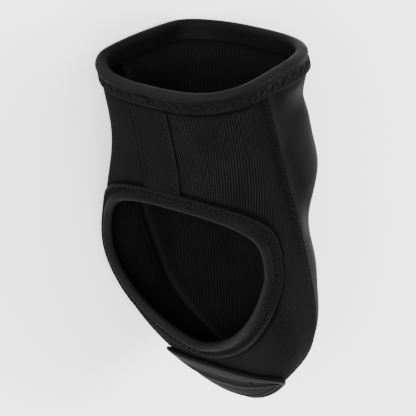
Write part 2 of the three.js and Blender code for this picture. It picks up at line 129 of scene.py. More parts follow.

# %% [markdown]
# The last as a table
#
# Each row is a section across the last. from_toe is a share of COVER_LENGTH; medial and lateral are half
# widths as shares of BALL_WIDTH; sole is the underside's height as a share of TOE_LIFT; top is a share of
# COLLAR_HEIGHT; wide is the height of the widest place as a share of the section's; edge and crown are the
# squareness of the sole's edge and of the instep. A loft through eleven listed sections keeps the shape easy
# to correct, where a sculpted mesh would hide its sizes.

# %% Sections and seam
SECTION_COLUMNS = ("from_toe", "medial", "lateral", "sole", "top", "wide", "edge", "crown")
SECTIONS = np.array([
    (0.00, 0.031, -0.031, 1.00, 0.333, 0.50, 2.0, 2.0),
    (0.01, 0.159, 0.035, 0.70, 0.430, 0.46, 2.3, 2.1),
    (0.04, 0.283, 0.110, 0.54, 0.490, 0.42, 2.6, 2.2),
    (0.09, 0.380, 0.198, 0.42, 0.530, 0.38, 2.9, 2.3),
    (0.16, 0.463, 0.303, 0.30, 0.560, 0.34, 3.2, 2.4),
    (0.25, 0.519, 0.385, 0.18, 0.590, 0.31, 3.4, 2.5),
    (0.36, 0.550, 0.430, 0.07, 0.620, 0.30, 3.5, 2.5),
    (0.49, 0.545, 0.457, 0.00, 0.670, 0.30, 3.5, 2.4),
    (0.64, 0.473, 0.457, 0.05, 0.800, 0.34, 3.3, 2.5),
    (0.81, 0.411, 0.416, 0.25, 0.900, 0.40, 3.0, 2.5),
    (1.00, 0.452, 0.401, 0.45, 1.000, 0.45, 2.8, 2.5),
])
SEAM_FROM_TOE = np.array([0.0, 0.12, 0.28, 0.44, 0.57, 0.7, 0.84, 1.0])
SEAM_SHARE = np.array([1.0, 0.95, 0.86, 0.82, 0.79, 0.83, 0.95, 1.0])
print("sections:", len(SECTIONS), "seam places:", len(SEAM_SHARE))


# %% Curves through a column
def smooth(keys, values, key):
    """A smooth curve through the values at keys, read at each key given."""
    last = len(keys) - 1
    ends = np.arange(last + 1)
    before, after = np.maximum(ends - 1, 0), np.minimum(ends + 1, last)
    slopes = (values[after] - values[before]) / (keys[after] - keys[before])
    i = np.clip(np.searchsorted(keys, key), 1, last)
    step = keys[i] - keys[i - 1]
    t = (key - keys[i - 1]) / step
    start, end = values[i - 1], values[i]
    leave, arrive = slopes[i - 1] * step, slopes[i] * step
    bend = 3 * (end - start) - 2 * leave - arrive
    twist = 2 * (start - end) + leave + arrive
    return twist * t**3 + bend * t**2 + leave * t + start


def column(name, share):
    """One column of the table, read over the root of the distance, which makes the toe round."""
    values = SECTIONS[:, SECTION_COLUMNS.index(name)]
    return smooth(np.sqrt(SECTIONS[:, 0]), values, np.sqrt(np.maximum(share, 0)))


def seam_height(share):
    return smooth(SEAM_FROM_TOE, SEAM_SHARE * SEAM_HEIGHT, share)


def signed_power(value, power):
    return np.sign(value) * np.abs(value) ** power


print("the seam is", round(float(seam_height(0.5)), 1), "mm up half way along the cover")

# %% A place on the last
class Section:
    """The sections at some shares of the way from the toe to the collar."""

    def __init__(self, share):
        medial = column("medial", share) * BALL_WIDTH
        lateral = column("lateral", share) * BALL_WIDTH
        self.x = -share * COVER_LENGTH
        self.middle = (medial - lateral) / 2
        self.half_width = (medial + lateral) / 2
        self.low = column("sole", share) * TOE_LIFT
        self.high = column("top", share) * COLLAR_HEIGHT
        self.wide = self.low + (self.high - self.low) * column("wide", share)
        self.edge = column("edge", share)
        self.crown = column("crown", share)

    def quadrant(self, below):
        """Squareness and height of the quadrants below or above the widest place."""
        squareness = np.where(below, self.edge, self.crown)
        reach = np.where(below, self.wide - self.low, self.high - self.wide)
        return squareness, reach

    def place(self, turn):
        """turn goes from 0 under the sole, round by the inner side, to 1."""
        angle = 2 * math.pi * turn
        upward = -np.cos(angle)
        squareness, reach = self.quadrant(upward < 0)
        side = self.middle + self.half_width * signed_power(np.sin(angle), 2 / squareness)
        height = self.wide + reach * signed_power(upward, 2 / squareness)
        return np.stack(np.broadcast_arrays(self.x, side, height), axis=-1)


def last_place(turn, share):
    return Section(share).place(turn)


COLLAR = Section(np.array(1.0))


def collar_share(turn):
    """The share of the length at the collar's edge, which is scooped over the instep."""
    rise = COLLAR.place(turn)[..., 2] - COLLAR.low
    return 1 - COLLAR_SCOOP / COVER_LENGTH * (rise / (COLLAR.high - COLLAR.low)) ** 2


print("the collar is", round(float(2 * COLLAR.half_width)), "mm wide")

# %% [markdown]
# How the cover lies
#
# Off the shoe, the cover lies on its inner side, and soft cloth settles flat where it touches the
# table. Gravity could do that in a cloth simulation, but a pressed flat of a known depth is steadier
# and matches the solids: cloth that would be below the ground is moved back up to it.

# %% The ground under the cover
ROWS = 24
TURNS = 48
SETTLE_PASSES = 8
FADE_BANDS = 2.5
INNER_SIDE = np.array([0, math.cos(math.radians(LEAN)), math.sin(math.radians(LEAN))])


def smoothstep(value, low, high):
    t = np.clip((value - low) / (high - low), 0, 1)
    return t * t * (3 - 2 * t)


def stand_out(proud, from_collar):
    """What touches the ground stands this far out of the last."""
    fade = smoothstep(from_collar, COLLAR_BAND, FADE_BANDS * COLLAR_BAND)
    return TAPE_PROUD + (proud - TAPE_PROUD) * fade


def resting_plane():
    """Its downward direction, and its depth in that direction."""
    turn, part = np.meshgrid(np.arange(TURNS) / TURNS, np.arange(1, ROWS + 1) / ROWS)
    share = part**2
    place = last_place(turn, share * collar_share(turn))
    proud = np.where(place[..., 2] < seam_height(share), SOLE_PROUD, 0)
    out = stand_out(proud, (1 - share) * COVER_LENGTH)
    points = (place + out[..., None] * INNER_SIDE).reshape(-1, 3)
    is_front = points[:, 0] > -COVER_LENGTH / 2
    down = INNER_SIDE.copy()
    for _ in range(SETTLE_PASSES):
        front, rear = (half[np.argmax(half @ down)] for half in (points[is_front], points[~is_front]))
        line = front - rear
        down = INNER_SIDE.copy()
        down[0] = -INNER_SIDE @ line / line[0]
    down /= np.linalg.norm(down)
    return down, (points @ down).max() - SETTLE


DOWN, DEPTH = resting_plane()
print("ground faces", np.round(DOWN, 3), "at", round(float(DEPTH), 2), "mm from the last's origin")

# %% Cloth on the last
TURN_STEP = 0.002
SHARE_STEP = 0.0004
NEAREST_TIP = 0.0005
PRESS_EASE = 2.0  # cloth bends softly where it starts to lie flat; the solids have a crease there


def settled(turn, share, proud, ease=PRESS_EASE):
    """The last's surface, pressed back from the ground under cloth that is this proud."""
    place = last_place(turn, share)
    from_collar = (collar_share(turn) - share) * COVER_LENGTH
    below = place @ DOWN + stand_out(proud, from_collar) - DEPTH
    pressed = (below + np.hypot(below, ease)) / 2
    return place - pressed[..., None] * DOWN


def outward(turn, share, proud, ease=PRESS_EASE):
    near = np.maximum(share, NEAREST_TIP)
    along = (settled(turn, near - SHARE_STEP, proud, ease)
             - settled(turn, near + SHARE_STEP, proud, ease))
    across = (settled(turn + TURN_STEP, near, proud, ease)
              - settled(turn - TURN_STEP, near, proud, ease))
    normal = np.cross(across, along)
    return normal / np.linalg.norm(normal, axis=-1, keepdims=True)


def cloth(turn, share, height, proud, ease=PRESS_EASE):
    """A place at a height above the last, with its turn round it and share along it."""
    turn, share, height = np.broadcast_arrays(turn, share, height)
    return settled(turn, share, proud, ease) + height[..., None] * outward(turn, share, proud, ease)


print("the tip of the toe is at", np.round(cloth(0.0, np.array([0.0]), 0.0, SOLE_PROUD)[0], 1), "mm, worn")

# %% [markdown]
# From the worn frame to the table
#
# The sections are measured as the cover is worn. One rotation lays them on the table, and one shift
# puts them where the solids are. The shift isn't guessed: the collar's tape is worked out here with
# the steps of its solid, and the two boxes give the difference.

# %% Tape folded round an edge
FOLD_STEPS = 3
COLLAR_STEPS = 48


def fold_round(proud, wall):
    """Top, bottom, middle and radius of tape folded round cloth that is this proud and thick."""
    top = proud + TAPE_GAP + TAPE
    bottom = proud - wall - LINING_GAP - TAPE
    return top, bottom, (top + bottom) / 2, (top - bottom) / 2


def folded_tape(proud, wall, band):
    """The plain folded tape of the solids: distances from the fold, heights above the last."""
    top, bottom, middle, radius = fold_round(proud, wall)
    angles = np.linspace(math.pi / 2, -math.pi / 2, FOLD_STEPS + 1)
    fold = [(band, top - TAPE), (band - TAPE / 2, top)]
    fold += [(radius - radius * math.cos(a), middle + radius * math.sin(a)) for a in angles]
    fold += [(band - TAPE / 2, bottom), (band, bottom + TAPE)]
    return np.array(fold)


def lay_rotation():
    up = -DOWN
    toe = np.array([1.0, 0, 0])
    toe -= toe @ up * up
    toe /= np.linalg.norm(toe)
    return np.array([toe, np.cross(up, toe), up])


def lay_shift():
    fold = folded_tape(SOLE_PROUD, UPPER_WALL + SOLE_PROUD, COLLAR_BAND)
    turn = (np.arange(COLLAR_STEPS) / COLLAR_STEPS)[:, None]
    share = collar_share(turn) - fold[:, 0] / COVER_LENGTH
    worn = cloth(turn, share, fold[:, 1], SOLE_PROUD, ease=0).reshape(-1, 3)
    low, high = (np.array(corner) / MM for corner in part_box("collar_binding"))
    laid = worn @ ROTATION.T
    shift = low - laid.min(axis=0)
    print("the tape's box differs by", np.round(high - laid.max(axis=0) - shift, 3), "mm")
    return shift


ROTATION = lay_rotation()
SHIFT = lay_shift()


def lay(worn):
    """Places in the worn frame, in millimetres, as places on the table in metres."""
    return (worn @ ROTATION.T + SHIFT) * MM


# %% [markdown]
# The camera
#
# The picture was taken from below and behind the outer side of the worn cover, with a long lens.
# Its direction is given as the wearer would: how far round from straight behind, and how far down.
# The camera rolls so that the toe points down the picture, and it is framed on the cover alone.

# %% Camera
LOOK_AT = np.array([-102.6, 9.1, 33.8])  # worn frame
CAMERA_DISTANCE = 1360
CAMERA_ROUND = 47.65  # degrees from straight behind towards the outer side
CAMERA_BELOW = 33.55
CAMERA_ROLL = 46.64
CAMERA_LENS = 253.9
SENSOR = 36
FARTHEST_SEEN = 20  # metres


def add_camera():
    around, below = math.radians(CAMERA_ROUND), math.radians(CAMERA_BELOW)
    forward = np.array([
        math.cos(below) * math.cos(around),
        math.cos(below) * math.sin(around),
        math.sin(below),
    ])
    level = np.cross(forward, [0, 0, 1])
    level /= np.linalg.norm(level)
    rise = np.cross(level, forward)
    roll = math.radians(CAMERA_ROLL)
    right = math.cos(roll) * level + math.sin(roll) * rise
    up = np.cross(right, forward)
    axes = np.array([right, up, -forward]) @ ROTATION.T
    eye = lay(LOOK_AT - forward * CAMERA_DISTANCE)
    data = bpy.data.cameras.new("camera")
    data.lens = CAMERA_LENS
    data.sensor_width = SENSOR
    data.clip_end = FARTHEST_SEEN
    camera = bpy.data.objects.new("camera", data)
    camera.matrix_world = Matrix.Translation(eye) @ Matrix(axes.T.tolist()).to_4x4()
    bpy.context.scene.collection.objects.link(camera)
    bpy.context.scene.camera = camera
    print("camera at", np.round(eye, 3), "m")


add_camera()

# %% [markdown]
# Floor and light
#
# The studio is white all round, so the floor is plain and pale, and the light is large and soft. A
# black object shows its form only by what shines on it, so wide panels stand where the cloth and
# the rolled tape can catch them.

# %% Floor
FLOOR_SIZE = 30  # metres
FLOOR_COLOUR = (0.86, 0.86, 0.86, 1)
FLOOR_ROUGHNESS = 0.9


def add_floor():
    half = FLOOR_SIZE / 2
    mesh = bpy.data.meshes.new("floor")
    corners = [(-half, -half, 0), (half, -half, 0), (half, half, 0), (-half, half, 0)]
    mesh.from_pydata(corners, [], [(0, 1, 2, 3)])
    floor = bpy.data.objects.new("floor", mesh)
    bpy.context.scene.collection.objects.link(floor)
    material = bpy.data.materials.new("floor")
    material.use_nodes = True
    finish = material.node_tree.nodes["Principled BSDF"]
    finish.inputs["Base Color"].default_value = FLOOR_COLOUR
    finish.inputs["Roughness"].default_value = FLOOR_ROUGHNESS
    mesh.materials.append(material)
    floor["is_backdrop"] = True


add_floor()
print("floor", FLOOR_SIZE, "m square")

# %% Lights
WORLD_STRENGTH = 2.1
LIGHTS = {  # each light's place and width in metres, and its power in watts
    "key": ((-1.1, -1.2, 1.2), 1.1, 110),
    "fill": ((0.5, 1.5, 1.4), 1.0, 75),
    "rim": ((1.2, -0.9, 0.8), 0.8, 12),
}


def add_area_light(name, place, size, power):
    data = bpy.data.lights.new(name, "AREA")
    data.shape = "DISK"
    data.size = size
    data.energy = power
    light = bpy.data.objects.new(name, data)
    light.location = place
    light.rotation_euler = (-Vector(place)).to_track_quat("-Z", "Y").to_euler()
    bpy.context.scene.collection.objects.link(light)


def add_world():
    world = bpy.data.worlds.new("studio")
    world.use_nodes = True
    background = world.node_tree.nodes["Background"].inputs
    background["Color"].default_value = (1, 1, 1, 1)
    background["Strength"].default_value = WORLD_STRENGTH
    bpy.context.scene.world = world


add_world()
for name, settings in LIGHTS.items():
    add_area_light(name, *settings)
print("lights:", ", ".join(LIGHTS))

# %% [markdown]
# Meshes from grids
#
# Every cloth piece is a sheet of small squares with a thickness. A sheet could be thickened by Blender's
# Solidify modifier, but the wall here is known exactly, so the inner face is worked out like the outer one
# and the two are joined round their edges. Each piece keeps two things for its finish: "weave", the
# millimetres across and along the cloth, and a value for rubbing and painted light. It is above nought on
# raised edges, which are painted paler as rubbing and as a painted highlight, and below nought beside a seam,
# a groove or a tape's edge, which is painted darker as a painted shade.

# %% Faces of a grid
def grid_faces(index):
    """Squares between neighbouring places of an index grid, or triangles where two are one."""
    corners = np.stack([index[:-1, :-1], index[:-1, 1:], index[1:, 1:], index[1:, :-1]], axis=-1)
    faces = []
    for face in corners.reshape(-1, 4).tolist():
        face = list(dict.fromkeys(face))
        if len(face) > 2:
            faces.append(face)
    return faces


def closed_index(rows, columns, close_rows=False, close_columns=False):
    """An index grid whose last row or column comes back to the first."""
    index = np.arange(rows * columns).reshape(rows, columns)
    if close_columns:
        index = np.hstack([index, index[:, :1]])
    if close_rows:
        index = np.vstack([index, index[:1]])
    return index


def shell_faces(faces, count):
    """Both faces of a sheet, the inner one turned over, and the strip round its edges."""
    outer = [face[::-1] for face in faces]
    inner = [[i + count for i in face] for face in faces]
    sides = {(a, b) for face in outer for a, b in zip(face, face[1:] + face[:1])}
    rim = sorted(side for side in sides if side[::-1] not in sides)
    return outer + inner + [[b, a, a + count, b + count] for a, b in rim]


print("a tube of 3 by 4 places has", len(grid_faces(closed_index(3, 4, close_columns=True))), "faces")

# %% Make a piece
SHARP = math.radians(50)


def add_piece(name, points, faces, weave, rub_and_painted_light, nodes=()):
    """A piece of the cover from places in the worn frame. It rides on the one body there is."""
    used = np.zeros(len(points), bool)
    used[[i for face in faces for i in face]] = True
    renumber = np.cumsum(used) - 1
    mesh = bpy.data.meshes.new(name)
    mesh.from_pydata(lay(points[used]).tolist(), [], [[int(renumber[i]) for i in f] for f in faces])
    mesh.polygons.foreach_set("use_smooth", [True] * len(mesh.polygons))
    mesh.set_sharp_from_angle(angle=SHARP)
    kept = np.zeros((int(used.sum()), 3))
    kept[:, :2] = weave[used]
    mesh.attributes.new("weave", "FLOAT_VECTOR", "POINT").data.foreach_set("vector", kept.ravel())
    mesh.attributes.new("rub_and_painted_light", "FLOAT", "POINT").data.foreach_set("value", rub_and_painted_light[used])
    piece = bpy.data.objects.new(name, mesh)
    bpy.context.scene.collection.objects.link(piece)
    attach(piece, "root")
    if nodes:
        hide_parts(*nodes)
    print(name, len(mesh.vertices), "vertices,", len(mesh.polygons), "faces")
    return piece


def add_sheet(name, outer, inner, faces, weave, rub_and_painted_light, node):
    """A cloth piece from the places of its two faces, and the faces of its grid."""
    points = np.concatenate([outer.reshape(-1, 3), inner.reshape(-1, 3)])
    weave = np.stack(weave, axis=-1).reshape(-1, 2)
    piece = add_piece(name, points, shell_faces(faces, rub_and_painted_light.size), np.tile(weave, (2, 1)),
                      np.tile(rub_and_painted_light.ravel(), 2), [node])
    piece["faces_on_a_side"] = len(faces)
    return piece


# %% [markdown]
# Creases
#
# Neoprene folds softly, in wide shallow troughs with a ridge beside them. Sculpting them by hand
# would work too, but here each crease is one row: where its middle is, which way it runs, how long
# and wide it is and how deep. A positive depth is a ridge.

# %% Creases, listed
# x, height on a side or distance from the middle on top, run in degrees, length, width, depth
OUTER_CREASES = np.array([
    (-171, 60, 78, 30, 6.0, 2.9),
    (-156, 57, 74, 32, 6.5, -2.0),
    (-131, 46, 66, 30, 10.0, 2.0),
    (-106, 40, 58, 30, 12.0, -2.4),
    (-84, 37, 50, 24, 8.0, 0.6),
])
INNER_CREASES = np.array([
    (-160, 62, 80, 26, 6.0, -1.2),
    (-146, 58, 76, 28, 7.0, 1.0),
    (-118, 50, 64, 26, 8.0, -1.2),
])
TOP_CREASES = np.array([
    (-150, -8, 84, 34, 7.0, -1.3),
    (-138, 2, 96, 30, 8.0, 1.2),
    (-122, -12, 80, 34, 8.0, -1.3),
    (-96, 6, 98, 34, 9.0, -0.9),
    (-84, -4, 92, 28, 9.0, 0.8),
])
print("creases:", len(OUTER_CREASES) + len(INNER_CREASES) + len(TOP_CREASES))

# %% Height of the creases
CREASE_EASE = 14
TAPE_HOLDS = 0.4
SIDE_FADE = (0.2, 0.7)  # a side's creases fade in between these shares of the half width


def crease(rows, x, other):
    """The height that a list of creases adds at places given by x and one other measure."""
    total = np.zeros(np.broadcast(x, other).shape)
    for middle_x, middle, run, length, width, depth in rows:
        c, s = math.cos(math.radians(run)), math.sin(math.radians(run))
        along = (x - middle_x) * c + (other - middle) * s
        across = (other - middle) * c - (x - middle_x) * s
        total += depth * np.exp(-((along / length) ** 2) - (across / width) ** 2)
    return total


def crease_height(turn, share):
    """Creases on the upper's outer side, its inner side and over the instep. Seam and tape hold
    the cloth, so the creases die out at the seam and shrink towards the collar."""
    section = Section(share)
    place = section.place(turn)
    held = smoothstep(place[..., 2] - seam_height(share), 0, CREASE_EASE)
    from_collar = (collar_share(turn) - share) * COVER_LENGTH
    held *= TAPE_HOLDS + (1 - TAPE_HOLDS) * smoothstep(from_collar, 0, 2 * COLLAR_BAND)
    x, side, height = place[..., 0], place[..., 1] - section.middle, place[..., 2]
    outer = smoothstep(-side / section.half_width, *SIDE_FADE)
    inner = smoothstep(side / section.half_width, *SIDE_FADE)
    top = 1 - np.maximum(outer, inner)
    return held * (outer * crease(OUTER_CREASES, x, height) + inner * crease(INNER_CREASES, x, height)
                   + top * crease(TOP_CREASES, x, side))


crease_under_collar = crease_height(np.array(0.75), np.array(0.92))
print("the crease under the collar stands", round(float(crease_under_collar), 1), "mm proud")

# %% [markdown]
# Even columns
#
# A superellipse written with powers of sine and cosine bunches its points at the corners. Seen from
# the section's middle instead, each place is met by a ray, and rays spread evenly give even squares.

# %% Rays and turns
HALVINGS = 40
CROSSED_BY = 0.1  # share of the length by which the seam has crossed the middle line
EDGE_TRIM = EDGE_IN_FOLD / COVER_LENGTH


def redirect(part, share, to_ray):
    """Part of the way round a section as a ray, from its turn, or as a turn, from its ray."""
    side, upward = np.sin(2 * math.pi * part), -np.cos(2 * math.pi * part)
    squareness, _ = Section(share).quadrant(upward < 0)
    power = 2 / squareness if to_ray else squareness / 2
    return np.arctan2(signed_power(side, power), -signed_power(upward, power)) / (2 * math.pi)


def turn_of_ray(ray, share):
    return redirect(ray, share, to_ray=False)


def ray_of_turn(turn, share):
    return redirect(turn, share, to_ray=True)


def seam_ray(share, shift):
    """The ray to the seam on the inner side, or straight up where the seam passes over the toe."""
    section = Section(share)
    height = seam_height(share) + shift
    squareness, reach = section.quadrant(height < section.wide)
    upward = signed_power((height - section.wide) / reach, squareness / 2)
    turn = np.arccos(np.clip(-upward, -1, 1)) / (2 * math.pi)
    return np.where(upward < 1, ray_of_turn(turn, share), 0.5)


def seam_start(shift):
    """The share at which the seam crosses the middle line, over the toe."""
    near, far = 0.0, CROSSED_BY
    for _ in range(HALVINGS):
        share = (near + far) / 2
        if Section(np.array(share)).high < seam_height(np.array(share)) + shift:
            near = share
        else:
            far = share
    return far


print("the seam passes over the toe", round(seam_start(0) * COVER_LENGTH, 2), "mm behind the tip")

# %% [markdown]
# The upper
#
# The upper is one piece of 2.4 mm neoprene from seam to seam over the instep. Its front comes to a
# point over the toe, where the seam of one side runs into the other's. Rows follow the collar's
# scoop at the rear and close up towards that point at the front.

# %% Grid of the upper
UPPER_ROWS = 150
UPPER_COLUMNS = 180
SEAM_PRESS = -0.1  # sewn edges press on each other, so no light comes through
UPPER_CROWDING = 1.6  # above 1, rows are closer together at the toe
FIT_PASSES = 4  # rounds in which rows and columns settle on the edges


def upper_grid():
    start = seam_start(SEAM_PRESS)
    part = np.linspace(0, 1, UPPER_ROWS)[:, None]
    nominal = start + (1 - start) * part**UPPER_CROWDING
    spread = np.linspace(-1, 1, UPPER_COLUMNS)[None, :]
    share = nominal + 0 * spread
    for _ in range(FIT_PASSES):
        ray = 0.5 + (0.5 - seam_ray(share, SEAM_PRESS)) * spread
        turn = turn_of_ray(ray, share) % 1
        end = collar_share(turn) - EDGE_TRIM
        share = start + (nominal - start) * (end - start) / (1 - start)
    return turn, share


print("the upper starts", round(float(seam_start(SEAM_PRESS) * COVER_LENGTH), 2), "mm behind the tip")

# %% Upper
SEAM_ROUND = 2.2  # how far from its edge the cloth starts to turn down into the seam
SEAM_SINK = 1.1
EDGE_PRESS, EDGE_WIDTH = 0.5, 1.1  # the dip where cloth comes out from under a tape
RUB_HIGHLIGHT_MIDDLE, RUB_HIGHLIGHT_WIDTH = 3, 2  # the line beside the seam painted paler, as rubbing and as a painted highlight


def walk(points, axis):
    """Distances walked along a grid of places, from its first row or column."""
    strides = np.linalg.norm(np.diff(points, axis=axis), axis=-1)
    first = np.zeros_like(np.take(strides, [0], axis=axis))
    return np.cumsum(np.concatenate([first, strides], axis=axis), axis=axis)


def pressed_by_tape(beyond):
    """How pressed the cloth is, from 0 to 1, this far beyond the outer edge of a tape. The finish also paints
    the cloth darker by it, a painted shade under the tape's edge.
    """
    return np.exp(-(((beyond - EDGE_WIDTH / 2) / EDGE_WIDTH) ** 2))


def add_upper():
    turn, share = upper_grid()
    flat = cloth(turn, share, 0.0, 0)
    across = walk(flat, 1)
    from_edge = np.minimum(across, across[:, -1:] - across)
    sink = SEAM_SINK * (1 - smoothstep(from_edge, 0, SEAM_ROUND))
    pressed = pressed_by_tape((collar_share(turn) - share) * COVER_LENGTH - COLLAR_BAND)
    height = crease_height(turn, share) - sink - EDGE_PRESS * pressed
    outer = cloth(turn, share, height, 0)
    inner = cloth(turn, share, height - UPPER_WALL, 0)
    index = closed_index(*turn.shape)
    index[0, :] = index[0, 0]
    weave = across - across[:, -1:] / 2, share * COVER_LENGTH
    # Paler line beside the seam: rubbing and a painted highlight. Darker beyond the collar tape's edge: a
    # painted shade.
    rub_and_painted_light = np.exp(-((from_edge - RUB_HIGHLIGHT_MIDDLE) / RUB_HIGHLIGHT_WIDTH) ** 2) - pressed
    return add_sheet("upper_cloth", outer, inner, grid_faces(index), weave, rub_and_painted_light, "upper")


upper_cloth = add_upper()

# %% [markdown]
# The sole and its opening
#
# The sole panel wraps from seam to seam under the foot, and all round the tip of the toe. Its grid
# starts at the very tip. The cleat opening could be cut by a boolean, which leaves ragged slivers.
# Here the grid's own corners nearest the outline are moved onto it, and what is inside is left out.

# %% Measuring on the sole
ARC_STEPS = 192


def turn_under(x, across):
    """The turn at which the sole is this far from the middle line, measured along it."""
    rays = np.linspace(0, 0.5, ARC_STEPS + 1)
    share = (-x / COVER_LENGTH)[..., None]
    side = np.where(across < 0, -1, 1)[..., None]
    turns = turn_of_ray(side * rays, share)
    walked = walk(last_place(turns, share), x.ndim)
    k = np.clip((walked < np.abs(across)[..., None]).sum(axis=-1) - 1, 0, ARC_STEPS - 1)[..., None]
    low, high = np.take_along_axis(walked, k, -1), np.take_along_axis(walked, k + 1, -1)
    part = (np.abs(across)[..., None] - low) / (high - low)
    a, b = np.take_along_axis(turns, k, -1), np.take_along_axis(turns, k + 1, -1)
    return (a + (b - a) * part)[..., 0]


def on_sole(x, across, height):
    x, across, height = np.broadcast_arrays(x, across, height)
    return cloth(turn_under(x, across), -x / COVER_LENGTH, height, SOLE_PROUD)


middle_of_sole = on_sole(np.array([-COVER_LENGTH / 2]), np.array([0.0]), 0.0)[0]
print("the middle of the sole is at", np.round(middle_of_sole, 1), "mm, worn")

# %% The opening's outline
OUTLINE_TRIES = 4000


def opening_outline(count):
    """Evenly divided places round the opening, as x and across, with their outward directions."""
    angle = np.linspace(0, 2 * math.pi, OUTLINE_TRIES + 1)
    forward = np.cos(angle) > 0
    power = 2 / np.where(forward, FRONT_SQUARENESS, REAR_SQUARENESS)
    ahead = np.where(forward, OPENING_FRONT, OPENING_REAR) * signed_power(np.cos(angle), power)
    turned = OPENING_TURN * np.maximum(ahead, 0) / OPENING_FRONT
    side = OPENING_WIDTH / 2 * signed_power(np.sin(angle), power)
    fine = np.stack([-(OPENING_FROM_TOE + OPENING_FRONT) + ahead, OPENING_SHIFT + turned + side], axis=-1)
    walked = walk(fine, 0)
    goals = walked[-1] * np.arange(count) / count
    places = np.stack([np.interp(goals, walked, fine[:, k]) for k in (0, 1)], axis=-1)
    along = np.roll(places, -1, axis=0) - np.roll(places, 1, axis=0)
    along /= np.linalg.norm(along, axis=-1, keepdims=True)
    return places, np.stack([along[:, 1], -along[:, 0]], axis=-1), walked[-1]


def near_outline(points, outline):
    """For each place: the nearest place on the outline, its distance, and a side above 0 inside."""
    starts, ends = outline, np.roll(outline, -1, axis=0)
    line = ends - starts
    length2 = (line**2).sum(axis=-1)
    offset = points[:, None, :] - starts
    part = np.clip((offset * line).sum(axis=-1) / length2, 0, 1)
    nearest = starts + part[..., None] * line
    distance = np.linalg.norm(points[:, None, :] - nearest, axis=-1)
    best = distance.argmin(axis=1)
    rows = np.arange(len(points))
    side = line[best, 0] * offset[rows, best, 1] - line[best, 1] * offset[rows, best, 0]
    return nearest[rows, best], distance[rows, best], side


print("once round the opening is", round(float(opening_outline(4)[2])), "mm")

# %% Grid of the sole panel
SOLE_ROWS = 190
SOLE_COLUMNS = 221
SOLE_CROWDING = 1.5
TIP = 1e-9  # a share so close to the tip that the seam can still be read there


def sole_grid():
    start = seam_start(-SEAM_PRESS)
    part = np.linspace(0, 1, SOLE_ROWS)[:, None]
    nominal = part**SOLE_CROWDING
    spread = np.linspace(-1, 1, SOLE_COLUMNS)[None, :]
    share = nominal + 0 * spread
    for _ in range(FIT_PASSES):
        ray = seam_ray(np.maximum(share, TIP), -SEAM_PRESS) * spread
        turn = turn_of_ray(ray, share)
        end = collar_share(turn) - EDGE_TRIM
        share = np.where(nominal <= start, nominal, start + (nominal - start) * (end - start) / (1 - start))
    index = closed_index(*turn.shape)
    index[nominal[:, 0] <= start, -1] = index[nominal[:, 0] <= start, 0]
    index[0, :] = index[0, 0]
    return turn, share, index


print("the sole's grid has", SOLE_ROWS * SOLE_COLUMNS, "places")

# %% Cut the opening
OUTLINE_POINTS = 240
OUTLINE_REACH = 0.6  # corners this near the outline, in rows, are moved onto it


def cut_opening(turn, share, across, index):
    """Moves the grid's corners next to the outline onto it, and leaves out the faces inside. Also
    gives how far beyond the tape of the opening each place is."""
    flat = np.stack([-share * COVER_LENGTH, across], axis=-1).reshape(-1, 2)
    places, out, _ = opening_outline(OUTLINE_POINTS)
    outline = places + EDGE_IN_FOLD * out
    low, high = outline.min(axis=0) - OPENING_BAND, outline.max(axis=0) + OPENING_BAND
    close = np.flatnonzero(((flat > low) & (flat < high)).all(axis=1))
    nearest, distance, side = near_outline(flat[close], outline)
    reach = OUTLINE_REACH * COVER_LENGTH / SOLE_ROWS
    on_line = close[distance < reach]
    flat[on_line] = nearest[distance < reach]
    turn.ravel()[on_line] = turn_under(flat[on_line, 0], flat[on_line, 1])
    share.ravel()[on_line] = -flat[on_line, 0] / COVER_LENGTH
    inside = np.zeros(len(flat), bool)
    inside[close] = (side > 0) & (distance > reach)
    beyond = np.full(len(flat), np.inf)
    beyond[close] = np.where(side > 0, np.inf, distance + EDGE_IN_FOLD - OPENING_BAND)
    return [face for face in grid_faces(index) if not inside[face].any()], beyond.reshape(share.shape)


# %% Sole panel
TOE_FRONT = (0.01, 0.1)  # shares between which the panel turns up round the toe and its ribs with it
STRIP_UNDER_TAPE = 2  # how far the strip goes in under the tape at both ends
STRIP_FRONT = -(OPENING_FROM_TOE + OPENING_FRONT + OPENING_REAR + OPENING_BAND) + STRIP_UNDER_TAPE
GROOVE_WIDTH, GROOVE_DEPTH = 1.0, 0.8  # the sewn-down strip presses a groove on each side
SEAM_SHADE = 4.5  # how far from the seam the cloth is painted darker, a painted shade beside the seam


def strip_groove(across, share):
    """How deep in the groove beside the strip a place is, from 0 to 1."""
    beside = np.abs(across - STRIP_SHIFT) - (STRIP_WIDTH + GROOVE_WIDTH) / 2
    return np.exp(-(2 * beside / GROOVE_WIDTH) ** 2) * (share > -STRIP_FRONT / COVER_LENGTH)


def sole_weave(flat, share, across):
    """Ribs run along the sole and, round the toe, straight up its front."""
    facing = 1 - smoothstep(share, *TOE_FRONT)
    section = Section(share)
    ribs = across + facing * (flat[..., 1] - section.middle - across)
    return ribs, share * COVER_LENGTH - facing * (flat[..., 2] - section.low)


